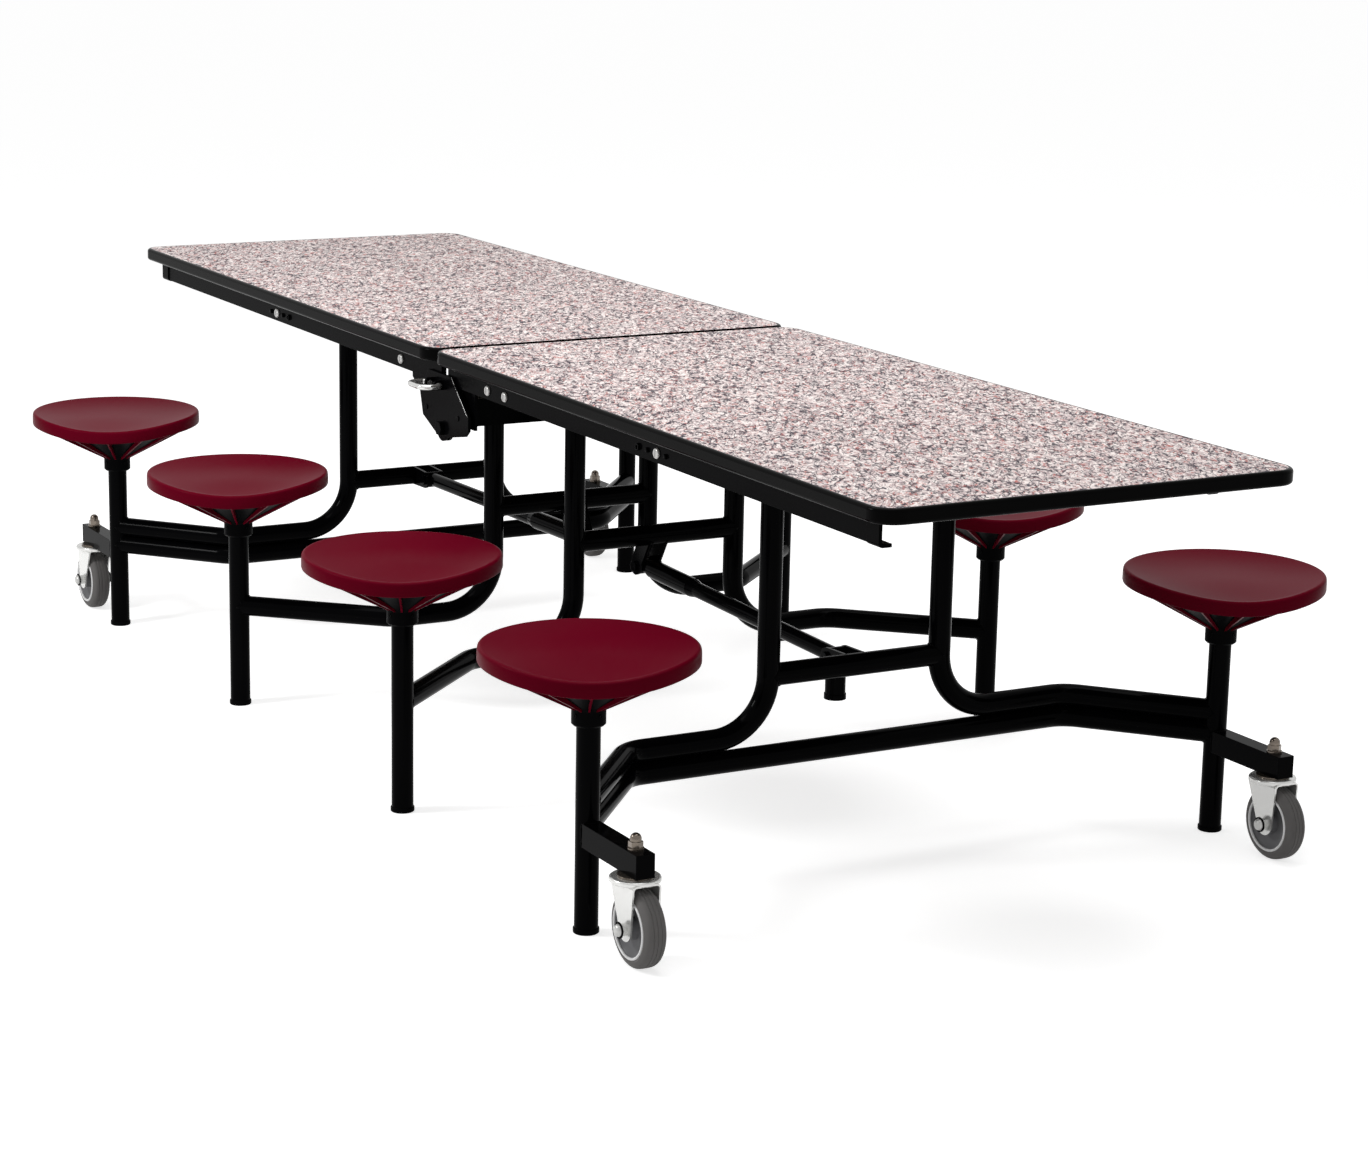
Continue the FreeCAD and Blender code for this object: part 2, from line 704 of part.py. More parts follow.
def plain_yoke():
    """The outer frame's link bracket."""
    return single(link_bracket(outer_leg_x, outer_cross_z, link_ends()[0]))


def bumper_yoke():
    """The near outer frame's link bracket, with the capped bumper post that hangs from it."""
    x, z = link_ends()[0]
    yoke = plain_yoke()
    half_y = link_eye_length / 2 + cheek_gap + cheek_thickness
    plate_top = z - link_eye_diameter / 2 - cheek_gap
    half_x = tube_radius + bumper_plate_margin
    plate = box(V(x - half_x, -half_y, plate_top - bumper_plate_thickness), V(x + half_x, half_y, plate_top))
    post_top = plate_top - bumper_plate_thickness
    outer = tube_diameter - 2 * bumper_cap_wall
    post = ring(outer, outer - 2 * tube_wall, bumper_height, V(x, 0, post_top), V(0, 0, -1))
    cap = cylinder(tube_diameter, bumper_cap_height, V(x, 0, post_top - bumper_height), V(0, 0, 1))
    return single(yoke.fuse([plate, post, cap]).removeSplitter())


def link_hub():
    """The inner frame's link bracket."""
    return single(link_bracket(inner_leg_x, inner_cross_z, link_ends()[1]))


# Caster mounts and casters
def caster_swivel_x():
    """Where a near caster's swivel axis stands."""
    return outer_stool_x + caster_reach


def caster_arm():
    """The box tube from an outer stool post at +Y to its caster, closed at its outer end."""
    low = V(outer_stool_x, stool_y - caster_arm_width / 2, caster_arm_floor_z)
    high = low + V(caster_arm_length, caster_arm_width, caster_arm_height)
    wall = caster_arm_wall
    hollow = box(low + V(0, wall, wall), high - V(wall, wall, wall))
    stem = cylinder(caster_stem_diameter, caster_arm_height, V(caster_swivel_x(), stool_y, low.z), V(0, 0, 1))
    lower_bar = swept_bar(lower_path(), tube_diameter)
    pieces = box(low, high).cut([hollow, post_bar(outer_stool_x), stem, lower_bar]).Solids
    return max(pieces, key=lambda s: s.Volume)


def caster_stem():
    """The fixed stem with the race plate under the arm, and the washer and dome nut on top of it."""
    x = caster_swivel_x()
    floor_z = caster_arm_floor_z
    top_z = floor_z + caster_arm_height
    race = cylinder(race_plate_diameter, race_plate_height, V(x, stool_y, floor_z - race_plate_height), V(0, 0, 1))
    stem = cylinder(caster_stem_diameter, caster_arm_height, V(x, stool_y, floor_z), V(0, 0, 1))
    washer = cylinder(caster_washer_diameter, caster_washer_height, V(x, stool_y, top_z), V(0, 0, 1))
    nut_z = top_z + caster_washer_height
    nut = hexagon(caster_nut_across, caster_nut_height, V(0, 0, 0))
    nut.rotate(V(0, 0, 0), V(1, 0, 0), 90)
    nut.translate(V(x, stool_y, nut_z))
    neck = cylinder(caster_dome_diameter, caster_nut_height + caster_dome_rise, V(x, stool_y, nut_z), V(0, 0, 1))
    dome = Part.makeSphere(caster_dome_diameter / 2, V(x, stool_y, nut_z + caster_nut_height + caster_dome_rise))
    return single(race.fuse([stem, washer, nut, neck, dome]).removeSplitter())


def caster_fork():
    """The swivelling fork at the origin: round race cap, a pressed U with tapered cheeks, and the axle bolt."""
    cap_top = caster_arm_floor_z - race_plate_height - race_gap
    cap_floor = cap_top - race_height
    cap = cylinder(race_diameter, race_height, V(0, 0, cap_floor), V(0, 0, 1))
    rims = [e for e in cap.Edges if abs(e.BoundBox.ZLength) < running_clearance]
    cap = cap.makeFillet(race_round, rims)
    half_y = fork_width / 2
    axle_x = caster_trail
    inner_x = -fork_inner_reach
    outer_x = fork_outer_reach
    crown = cap_floor + race_height / 2
    floor_z = wheel_radius - fork_end_radius - overrun
    thick = fork_plate_thickness
    press = box(V(inner_x, -half_y, floor_z), V(outer_x, half_y, crown))
    press = press.makeFillet(fork_bend_radius, upper_edges(press, crown))
    core = box(V(inner_x, thick - half_y, floor_z), V(outer_x, half_y - thick, crown - thick))
    core = core.makeFillet(fork_bend_radius - thick, upper_edges(core, crown - thick))
    outline = [(inner_x, crown), (outer_x, crown), (axle_x + fork_end_radius, wheel_radius),
               (axle_x - fork_end_radius, wheel_radius)]
    side = plate_xz(outline, -half_y, fork_width)
    end = cylinder(2 * fork_end_radius, fork_width, V(axle_x, -half_y, wheel_radius), V(0, 1, 0))
    solids = [press.cut(core).common(side.fuse(end))]
    for head_y in (half_y, -half_y - axle_head_height):
        solids.append(hexagon(axle_head_diameter, axle_head_height, V(axle_x, head_y, wheel_radius)))
    solids.append(cylinder(axle_diameter, fork_width, V(axle_x, -half_y, wheel_radius), V(0, 1, 0)))
    return single(cap.fuse(solids).removeSplitter())


def upper_edges(shape, z):
    """The edges at height z that run along the table."""
    return [e for e in shape.Edges if abs(e.BoundBox.ZMin - z) < running_clearance
            and e.BoundBox.YLength < running_clearance and e.BoundBox.ZLength < running_clearance]


def caster_wheel():
    """The wheel at the origin: a crowned tread, recessed sides with a bead, and a hub bored for the axle."""
    centre = V(caster_trail, 0, wheel_radius)
    tyre = cylinder(wheel_diameter, wheel_width, centre - V(0, wheel_width / 2, 0), V(0, 1, 0))
    rims = [e for e in tyre.Edges if abs(e.BoundBox.YLength) < running_clearance]
    tyre = tyre.makeFillet(wheel_round, rims)
    bead_diameter = wheel_rim_diameter + 2 * wheel_rim_bead
    for side in (-1, 1):
        start = centre + V(0, side * (wheel_width / 2 - wheel_bead_height), 0)
        tyre = tyre.fuse(cylinder(bead_diameter, 2 * wheel_bead_height, start, V(0, side, 0)))
    for side in (-1, 1):
        start = centre + V(0, side * (wheel_width / 2 - wheel_web_recess), 0)
        tyre = tyre.cut(cylinder(wheel_rim_diameter, wheel_web_recess + overrun, start, V(0, side, 0)))
    hub = cylinder(wheel_hub_diameter, wheel_hub_length, centre - V(0, wheel_hub_length / 2, 0), V(0, 1, 0))
    bore = axle_diameter + 2 * running_clearance
    hole = cylinder(bore, wheel_hub_length, centre - V(0, wheel_hub_length / 2, 0), V(0, 1, 0))
    return single(tyre.fuse(hub).cut(hole).removeSplitter())


# Latch
def latch_lug(x):
    """A small ear on the near hinge plate that holds one end of the handle."""
    face_y = hinge_plate_y()
    pin_y = face_y - latch_lug_standoff
    low_x = x - latch_lug_thickness / 2
    high_x = low_x + latch_lug_thickness
    ear = cylinder(2 * latch_lug_radius, latch_lug_thickness, V(low_x, pin_y, latch_z), V(1, 0, 0))
    foot = box(V(low_x, pin_y, latch_z - latch_lug_radius), V(high_x, face_y, latch_z + latch_lug_radius))
    bore = latch_rod_diameter + 2 * running_clearance
    hole = cylinder(bore, latch_lug_thickness, V(low_x, pin_y, latch_z), V(1, 0, 0))
    return single(ear.fuse(foot).cut(hole).removeSplitter())


def latch_handle():
    """The bent bright rod that a hand pulls up to free the joint."""
    pin_y = hinge_plate_y() - latch_lug_standoff
    low = latch_centre_x - latch_half_span
    high = latch_centre_x + latch_half_span
    front_y = pin_y - latch_reach
    seat_x = latch_lug_thickness / 2
    low_x = low - latch_wing
    high_x = high + latch_wing
    points = [V(low + seat_x, pin_y, latch_z), V(low_x, pin_y, latch_z), V(low_x, front_y, latch_z),
              V(high_x, front_y, latch_z), V(high_x, pin_y, latch_z), V(high - seat_x, pin_y, latch_z)]
    radii = [latch_bend_radius, latch_bow_radius, latch_bow_radius, latch_bend_radius]
    return swept_bar(rounded_path(points, radii), latch_rod_diameter)


def rivets(places, diameter):
    """Round heads on the outer face of the front rail of the near top."""
    z = board_floor_z - rivet_drop
    start_y = -rail_face_y - rivet_height
    return [cylinder(diameter, rivet_height, V(x, start_y, z), V(0, 1, 0)) for x in places]


# The two tops
rails = [side_rail(front_rail_end_setback), mirrored_y(side_rail(back_rail_end_setback))]
far_plates = [far_hinge_plate(), mirrored_y(far_hinge_plate())]
rods = [pivot_rod(outer_pivot_x, outer_pivot_z), pivot_rod(inner_pivot_x, inner_pivot_z)]
near_far("top_board", [top_board()])
near_far("top_edge", [top_edge()])
near_far("pivot_rods", rods)
write("near_side_rails", rails)
write("far_side_rails", [far_rail(r) for r in rails])

# The middle hinge
lugs = [latch_lug(latch_centre_x + side * latch_half_span) for side in (-1, 1)]
front_plate = single(near_hinge_plate().fuse(lugs).removeSplitter())
write("near_hinge_plates", [front_plate, mirrored_y(near_hinge_plate())])
write("far_hinge_plates", far_plates)
write("hinge_bolts", [hinge_bolt(), mirrored_y(hinge_bolt())])
write("hinge_beam", [hinge_beam()])
write("torsion_bars", torsion_bars())

# The outer and inner stool frames
outer_leg = leg(outer_leg_x, outer_arm_z, outer_bend_y, outer_stool_x, outer_pivot_x, outer_pivot_z, [])
inner_leg = leg(inner_leg_x, inner_arm_z, inner_bend_y, inner_stool_x, inner_pivot_x, inner_pivot_z,
                [leg_gusset()])
near_far("outer_legs", [outer_leg, mirrored_y(outer_leg)])
near_far("inner_legs", [inner_leg, mirrored_y(inner_leg)])
near_far("outer_cross_tube", [cross_tube(outer_leg_x, outer_cross_z, outer_arm_z, outer_bend_y, outer_stool_x)])
near_far("inner_cross_tube", [cross_tube(inner_leg_x, inner_cross_z, inner_arm_z, inner_bend_y, inner_stool_x)])
near_far("outer_lower_tube", [lower_tube()])
write("near_link_yoke", [bumper_yoke()])
write("far_link_yoke", [turned(plain_yoke())])
near_far("link_hub", [link_hub()])
near_far("link", [link()])

# The stools
one_seat = seat()
for frame, stool_x in (("outer", outer_stool_x), ("inner", inner_stool_x)):
    for name, piece in (("stool_posts", stool_post(stool_x)), ("foot_caps", foot_cap(stool_x)),
                        ("seat_sockets", seat_socket(stool_x))):
        near_far(frame + "_" + name, [piece, mirrored_y(piece)])
    for half, side in (("near_", 1), ("far_", -1)):
        write(half + frame + "_seats", [moved(one_seat, V(side * stool_x, y, 0)) for y in (-stool_y, stool_y)])

# The casters
near_far("caster_arms", [caster_arm(), mirrored_y(caster_arm())])
near_far("caster_stems", [caster_stem(), mirrored_y(caster_stem())])
swivel_x = caster_swivel_x()
for half, side in (("near_", 1), ("far_", -1)):
    for place, y in (("front_", -stool_y), ("back_", stool_y)):
        for name, piece in (("caster_fork", caster_fork()), ("caster_wheel", caster_wheel())):
            facing = piece if side > 0 else turned(piece)
            write(half + place + name, [moved(facing, V(side * swivel_x, y, 0))])

# The latch and the fasteners
write("latch_handle", [latch_handle()])
small_rivets = rivets(small_rivet_places, small_rivet_diameter)
near_rivets = rivets(near_rivet_places, rivet_diameter) + small_rivets
far_rivets = [mirrored_x(head) for head in rivets(far_rivet_places, rivet_diameter) + small_rivets]
write("near_rail_rivets", near_rivets + [mirrored_y(head) for head in near_rivets])
write("far_rail_rivets", far_rivets + [mirrored_y(head) for head in far_rivets])
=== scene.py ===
# %% [markdown]
# # A folding cafeteria table with eight round stools
#
# The table is a long speckled top in two halves, carried by black bent tubes. Eight maroon stools are fixed to
# the tubes, and four casters at the ends roll the table when it is folded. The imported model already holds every
# piece at its real size, so this notebook gives the pieces their surfaces, adds what is too fine for the solids,
# and lights it.
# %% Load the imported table
import math

import bmesh
import bpy
import numpy as np
from mathutils import Matrix, Vector


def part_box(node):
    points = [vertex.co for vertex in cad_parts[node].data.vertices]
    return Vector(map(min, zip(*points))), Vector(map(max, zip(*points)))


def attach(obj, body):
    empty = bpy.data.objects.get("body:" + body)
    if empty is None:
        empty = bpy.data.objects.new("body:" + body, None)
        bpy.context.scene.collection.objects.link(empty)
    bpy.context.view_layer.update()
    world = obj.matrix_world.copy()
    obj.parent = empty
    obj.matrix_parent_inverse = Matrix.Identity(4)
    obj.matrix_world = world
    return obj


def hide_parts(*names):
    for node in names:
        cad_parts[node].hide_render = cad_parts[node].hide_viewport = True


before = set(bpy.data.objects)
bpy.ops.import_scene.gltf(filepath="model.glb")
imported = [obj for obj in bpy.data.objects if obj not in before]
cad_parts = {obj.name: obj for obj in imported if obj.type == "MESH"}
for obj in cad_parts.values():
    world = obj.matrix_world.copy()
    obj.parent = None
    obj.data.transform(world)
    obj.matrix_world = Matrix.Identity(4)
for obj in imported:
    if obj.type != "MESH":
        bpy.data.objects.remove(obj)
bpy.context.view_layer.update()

TURN = 2 * math.pi
HALVES = {"near": 1.0, "far": -1.0}
SIDES = {"front": -1.0, "back": 1.0}
ACROSS = (0, 1, 0)

# %% [markdown]
# ## Surfaces as grids
#
# Most new pieces are grids of points: row by row along a profile, column by column round it. They could be built by
# adding vertices in a loop, but numpy works out the whole grid at once and `foreach_set` hands it to the mesh. That
# is quicker, and the formula stays readable. Poles and seams are merged afterwards, so that they are closed and the
# faces point outwards.
# %% From grid to mesh
MERGE_WITHIN = 1e-6


def grid_quads(rows, columns, wrap_rows, wrap_columns):
    """Quads between neighbouring grid points; point (r, c) has the number r * columns + c."""
    r = np.arange(rows if wrap_rows else rows - 1)
    c = np.arange(columns if wrap_columns else columns - 1)
    r, c = [a.ravel() for a in np.meshgrid(r, c, indexing="ij")]
    below = (r + 1) % rows
    beside = (c + 1) % columns
    corners = [r * columns + c, r * columns + beside, below * columns + beside, below * columns + c]
    return np.stack(corners, axis=1)


def closed_mesh(name, grids):
    """One mesh from (points, wrap_rows, wrap_columns) grids, merged at seams and turned outwards."""
    points, quads, start = [], [], 0
    for grid, wrap_rows, wrap_columns in grids:
        rows, columns = grid.shape[:2]
        points.append(grid.reshape(-1, 3))
        quads.append(grid_quads(rows, columns, wrap_rows, wrap_columns) + start)
        start += rows * columns
    points = np.concatenate(points)
    quads = np.concatenate(quads)
    mesh = bpy.data.meshes.new(name)
    mesh.vertices.add(len(points))
    mesh.vertices.foreach_set("co", points.ravel())
    mesh.loops.add(quads.size)
    mesh.loops.foreach_set("vertex_index", quads.ravel().astype(np.int32))
    mesh.polygons.add(len(quads))
    mesh.polygons.foreach_set("loop_start", np.arange(0, quads.size, quads.shape[1], dtype=np.int32))
    mesh.update(calc_edges=True)
    work = bmesh.new()
    work.from_mesh(mesh)
    bmesh.ops.remove_doubles(work, verts=work.verts, dist=MERGE_WITHIN)
    bmesh.ops.recalc_face_normals(work, faces=work.faces)
    work.to_mesh(mesh)
    work.free()
    return mesh


print("quads on a band of 3 rows and 4 columns:", len(grid_quads(3, 4, False, True)))


# %% [markdown]
# A piece needs three things before it belongs to the table: a body to ride on, a material slot of the record, and
# smooth shading that still breaks at its real edges. One helper does all three, so that no piece can miss one.
# %% Put a piece on the table
def piece(name, grids, body, material, smooth_angle=40.0):
    """Makes the object, shades it smooth up to an angle, and lets it ride on a body."""
    mesh = closed_mesh(name, grids)
    mesh.materials.append(material)
    mesh.shade_smooth()
    mesh.set_sharp_from_angle(angle=math.radians(smooth_angle))
    made = bpy.data.objects.new(name, mesh)
    bpy.context.scene.collection.objects.link(made)
    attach(made, body)
    return made


# %% [markdown]
# ## Three kinds of grid
#
# A turned piece is a profile of (radius, height) carried round an axis. A bead or a rod is a small circle carried
# along a path. A bar is a ring of four corners with two ends. Those three make nearly every new piece of this table.
# %% Turned pieces
ALMOST_ALONG_X = 0.9


def frame_of(axis):
    """The axis at unit length, and two unit vectors square to it: axis x helper, and axis x that side."""
    axis = np.asarray(axis, float) / np.linalg.norm(axis)
    helper = np.array([1.0, 0, 0]) if abs(axis[0]) < ALMOST_ALONG_X else np.array([0, 1.0, 0])
    side = np.cross(axis, helper)
    side /= np.linalg.norm(side)
    return axis, side, np.cross(axis, side)


def turned(profile, centre, axis=(0, 0, 1), count=64):
    """Point = centre + height * axis + radius * (cos a * side + sin a * other), for each profile row and angle a."""
    axis, side, other = frame_of(axis)
    profile = np.asarray(profile, float)
    angle = np.arange(count) * TURN / count
    around = np.cos(angle)[:, None] * side + np.sin(angle)[:, None] * other
    grid = profile[:, None, :1] * around[None] + profile[:, None, 1:2] * axis
    return grid + np.asarray(centre, float), False, True


def arc(centre, radius, start, end, count=8):
    """Points of a circle's arc in the profile plane, between two angles in degrees."""
    angle = np.radians(np.linspace(start, end, count))
    return np.stack([centre[0] + radius * np.cos(angle), centre[1] + radius * np.sin(angle)], axis=1)


print("a turned arc has the shape", turned(arc((0, 0), 1, -90, 90), (0, 0, 0))[0].shape)


# %% Rods and beads along a path
def swept(path, radius, closed=True, count=10):
    """A circle carried along a path, square to the path's direction at each point; an open path has open ends."""
    path = np.asarray(path, float)
    ahead = np.roll(path, -1, axis=0) - np.roll(path, 1, axis=0)
    if not closed:
        ahead[0], ahead[-1] = path[1] - path[0], path[-1] - path[-2]
    ahead /= np.linalg.norm(ahead, axis=1)[:, None]
    outward = path - path.mean(axis=0)
    side = np.cross(ahead, outward)
    side /= np.linalg.norm(side, axis=1)[:, None]
    other = np.cross(ahead, side)
    angle = np.arange(count) * TURN / count
    radius = np.broadcast_to(radius, len(path))[:, None, None]
    ring = np.cos(angle)[None, :, None] * side[:, None] + np.sin(angle)[None, :, None] * other[:, None]
    return path[:, None] + radius * ring, closed, True


hoop = np.column_stack([arc((0, 0), 1.0, start=0, end=345, count=24), np.zeros(24)])
print("a swept hoop has the shape", swept(hoop, 0.1)[0].shape)


# %% Small bars
def slab(centre, half_sizes):
    """A closed bar as a grid: four corners at one end, four at the other, and a point in the middle of each end."""
    x, y, z = half_sizes
    ring = np.array([[-x, 0, -z], [x, 0, -z], [x, 0, z], [-x, 0, z]])
    rows = [ring * 0 - [0, y, 0], ring - [0, y, 0], ring + [0, y, 0], ring * 0 + [0, y, 0]]
    return np.stack(rows) + np.asarray(centre, float), False, True


print("a bar has the shape", slab((0, 0, 0), (1, 1, 1))[0].shape)

# %% [markdown]
# ## Finishes
#
# Each finish is a Principled shader with a little structure of its own, because no real surface is one flat value.
# Two effects recur: a fine unevenness that bends the reflections, and a slow drift of tone over the piece. Each
# material could hold its own copy, but both are node groups here, built once and used with different values.
# %% Small tools for node trees
def new_group(name, inputs, outputs):
    """An empty shader node group with (name, kind, default) inputs and (name, kind) outputs."""
    group = bpy.data.node_groups.new(name, "ShaderNodeTree")
    for label, kind, default in inputs:
        socket = group.interface.new_socket(label, in_out="INPUT", socket_type="NodeSocket" + kind)
        if default is not None:
            socket.default_value = default
    for label, kind in outputs:
        group.interface.new_socket(label, in_out="OUTPUT", socket_type="NodeSocket" + kind)
    return group, group.nodes.new("NodeGroupInput"), group.nodes.new("NodeGroupOutput")


def add(tree, kind, values=None, **settings):
    """Adds a node, sets its properties, and sets or links its inputs."""
    node = tree.nodes.new("ShaderNode" + kind)
    for label, value in settings.items():
        setattr(node, label, value)
    for label, value in (values or {}).items():
        socket = node.inputs[label]
        if isinstance(value, bpy.types.NodeSocket):
            tree.links.new(value, socket)
        else:
            socket.default_value = value
    return node


def grouped(tree, group, values):
    """Places a node group and sets its inputs."""
    node = add(tree, "Group", node_tree=group)
    for label, value in values.items():
        node.inputs[label].default_value = value
    return node


print("node groups so far", len(bpy.data.node_groups))

# %% The two recurring effects
EDGE_RADIUS = 0.0012


def make_drift():
    """Tone drift = colour * (1 + strength * (noise - 0.5)), with the noise at one scale."""
    group, given, result = new_group("tone drift", [
        ("Color", "Color", (0.5, 0.5, 0.5, 1)), ("Scale", "Float", 6.0), ("Strength", "Float", 0.1)],
        [("Color", "Color"), ("Mask", "Float")])
    place = add(group, "TexCoord").outputs["Object"]
    cloud = add(group, "TexNoise", {"Vector": place, "Scale": given.outputs["Scale"], "Detail": 4.0})
    centred = add(group, "Math", {0: cloud.outputs["Fac"], 1: 0.5}, operation="SUBTRACT").outputs[0]
    factor = add(group, "Math", {0: centred, 1: given.outputs["Strength"], 2: 1.0},
                 operation="MULTIPLY_ADD").outputs[0]
    tinted = add(group, "VectorMath", {0: given.outputs["Color"], 3: factor}, operation="SCALE").outputs[0]
    group.links.new(tinted, result.inputs["Color"])
    group.links.new(cloud.outputs["Fac"], result.inputs["Mask"])
    return group


def make_grain(name, edge_radius):
    """Fine grain: a noise as the height of a bump. With an edge radius, sharp edges shade as if rounded."""
    group, given, result = new_group(name, [("Scale", "Float", 800.0), ("Strength", "Float", 0.1),
                                            ("Depth", "Float", 0.0002)], [("Normal", "Vector")])
    place = add(group, "TexCoord").outputs["Object"]
    noise = add(group, "TexNoise", {"Vector": place, "Scale": given.outputs["Scale"], "Detail": 2.0})
    bump = add(group, "Bump", {"Height": noise.outputs["Fac"], "Strength": given.outputs["Strength"],
                               "Distance": given.outputs["Depth"]})
    if edge_radius:
        rounded = add(group, "Bevel", {"Radius": edge_radius}, samples=6)
        group.links.new(rounded.outputs["Normal"], bump.inputs["Normal"])
    group.links.new(bump.outputs["Normal"], result.inputs["Normal"])
    return group


drift_group = make_drift()
grain_group = make_grain("fine grain", 0)
edge_grain_group = make_grain("fine grain, soft edges", EDGE_RADIUS)
print("groups", [g.name for g in bpy.data.node_groups])


# %% A finish from those parts
def srgb(red, green, blue):
    """A colour seen on a screen, 0 to 255, as the linear value that a shader takes, by the standard screen curve."""
    value = np.array([red, green, blue]) / 255
    linear = np.where(value <= 0.04045, value / 12.92, ((value + 0.055) / 1.055) ** 2.4)
    return (*[float(v) for v in linear], 1.0)


def finish(name, color, roughness, metallic=0.0, specular=0.5, drift=(6.0, 0.12), grain=(900.0, 0.12, 0.0002),
           rough_swing=0.08, soft_edges=False):
    """A Principled material whose colour drifts, whose surface has grain, and whose gloss follows the drift.

    Drift is (scale, strength), and grain is (scale, strength, depth in metres). Roughness = the given one, give or
    take the swing.
    """
    material = bpy.data.materials.new(name)
    material.use_nodes = True
    tree = material.node_tree
    shader = tree.nodes["Principled BSDF"]
    tone = grouped(tree, drift_group, {"Color": color, "Scale": drift[0], "Strength": drift[1]})
    bump = grouped(tree, edge_grain_group if soft_edges else grain_group,
                   {"Scale": grain[0], "Strength": grain[1], "Depth": grain[2]})
    gloss = add(tree, "MapRange", {"Value": tone.outputs["Mask"], "To Min": roughness - rough_swing,
                                   "To Max": roughness + rough_swing})
    tree.links.new(tone.outputs["Color"], shader.inputs["Base Color"])
    tree.links.new(gloss.outputs["Result"], shader.inputs["Roughness"])
    tree.links.new(bump.outputs["Normal"], shader.inputs["Normal"])
    shader.inputs["Metallic"].default_value = metallic
    shader.inputs["Specular IOR Level"].default_value = specular
    return material


print("mid grey on the screen is", round(srgb(128, 128, 128)[0], 3), "in a shader")

# %% [markdown]
# ## Paint, plastic, metal and rubber
#
# The frame is powder coated gloss black, the rails are a little duller, and the seats are maroon plastic. Against a
# white room, black paint with the usual mirror level looks grey, so its level is turned far down: then only grazing
# views along the tubes shine. The small metal parts mirror the room, and keep a share of plain colour to stay grey.
# %% Black paint and plastics
powder_black = finish("gloss black powder coat", srgb(4, 4, 5), 0.12, specular=0.014, drift=(9.0, 0.4),
                      grain=(420.0, 0.10, 0.0003), rough_swing=0.05, soft_edges=True)
rail_black = finish("satin black rail paint", srgb(5, 5, 6), 0.24, specular=0.010, drift=(5.0, 0.35),
                    grain=(500.0, 0.14, 0.0003), soft_edges=True)
moulding_black = finish("black edge moulding", srgb(5, 5, 5), 0.20, specular=0.020, drift=(4.0, 0.4),
                        grain=(260.0, 0.12, 0.0004), rough_swing=0.06)
cap_black = finish("black moulded plastic", srgb(10, 10, 11), 0.36, specular=0.007, grain=(700.0, 0.25, 0.0002))
joint_black = finish("matte black joint lip", srgb(4, 4, 4), 0.6, specular=0.0, grain=(500.0, 0.2, 0.0002))
seat_maroon = finish("maroon seat plastic", srgb(92, 3, 24), 0.32, specular=0.009, drift=(7.0, 0.12),
                     grain=(900.0, 0.05, 0.0001), rough_swing=0.03)
print("finishes", len(bpy.data.materials))

# %% Metals and wheel rubber
zinc = finish("bright zinc plate", srgb(210, 210, 208), 0.26, metallic=0.70, drift=(14.0, 0.08),
              grain=(300.0, 0.02, 0.0001), rough_swing=0.05)
chrome = finish("chrome rod", srgb(206, 206, 204), 0.10, metallic=0.8, drift=(30.0, 0.05),
                grain=(200.0, 0.02, 0.0002), rough_swing=0.04)
nickel = finish("nickel plated nut", srgb(112, 103, 94), 0.18, metallic=0.8, drift=(200.0, 0.2),
                grain=(300.0, 0.05, 0.0002), rough_swing=0.06)
bright_steel = finish("bright steel", srgb(196, 196, 194), 0.30, metallic=0.4, drift=(40.0, 0.12))
wheel_grey = finish("grey wheel rubber", srgb(108, 106, 105), 0.55, specular=0.08, drift=(30.0, 0.16),
                    grain=(700.0, 0.2, 0.0003))
wheel_web = finish("grey wheel web", srgb(116, 116, 118), 0.42, specular=0.12, drift=(30.0, 0.12))
bead_pale = finish("pale wheel ring", srgb(238, 238, 238), 0.35, specular=0.5, drift=(30.0, 0.08))
print("finishes", len(bpy.data.materials))

# %% [markdown]
# ## The speckled laminate
#
# The top is a decorative laminate: pale pinkish grey, covered with short slate and terracotta squiggles and longer
# white ones. A squiggle is what is left of a smooth noise where its value passes through one half: the contour line
# of a random landscape. A second noise gates the line, so that it breaks into short strokes. One group makes such
# strokes, and the laminate uses it five times with its own scale, seed and width. The sheet is thin, so below it
# the board shows a plain brown backing.
# %% Strokes from contour lines
GATE_SEED_STEP, GATE_SOFTNESS = 31.7, 0.06


def make_strokes():
    """Stroke mask = contour line of a noise, one where |noise - 0.5| is under the width, times a gating noise."""
    group, given, result = new_group("laminate strokes", [
        ("Vector", "Vector", None), ("Scale", "Float", 90.0), ("Seed", "Float", 0.0), ("Width", "Float", 0.02),
        ("Gate", "Float", 0.5)], [("Mask", "Float")])
    line = add(group, "TexNoise", {"Vector": given.outputs["Vector"], "W": given.outputs["Seed"],
                                   "Scale": given.outputs["Scale"], "Detail": 0.5, "Distortion": 0.9},
               noise_dimensions="4D")
    away = add(group, "Math", {0: line.outputs["Fac"], 1: 0.5}, operation="SUBTRACT").outputs[0]
    away = add(group, "Math", {0: away}, operation="ABSOLUTE").outputs[0]
    soft = add(group, "MapRange", {"Value": away, "From Min": given.outputs["Width"], "From Max": 0.0})
    other = add(group, "Math", {0: given.outputs["Seed"], 1: GATE_SEED_STEP}, operation="ADD").outputs[0]
    gate = add(group, "TexNoise", {"Vector": given.outputs["Vector"], "W": other,
                                   "Scale": given.outputs["Scale"], "Detail": 0.0}, noise_dimensions="4D")
    high = add(group, "Math", {0: given.outputs["Gate"], 1: GATE_SOFTNESS}, operation="ADD").outputs[0]
    open_ = add(group, "MapRange", {"Value": gate.outputs["Fac"], "From Min": given.outputs["Gate"],
                                    "From Max": high})
    mask = add(group, "Math", {0: soft.outputs[0], 1: open_.outputs[0]}, operation="MULTIPLY").outputs[0]
    group.links.new(mask, result.inputs["Mask"])
    return group


strokes_group = make_strokes()
print("inputs of the strokes", [s.name for s in strokes_group.interface.items_tree if s.in_out == "INPUT"])

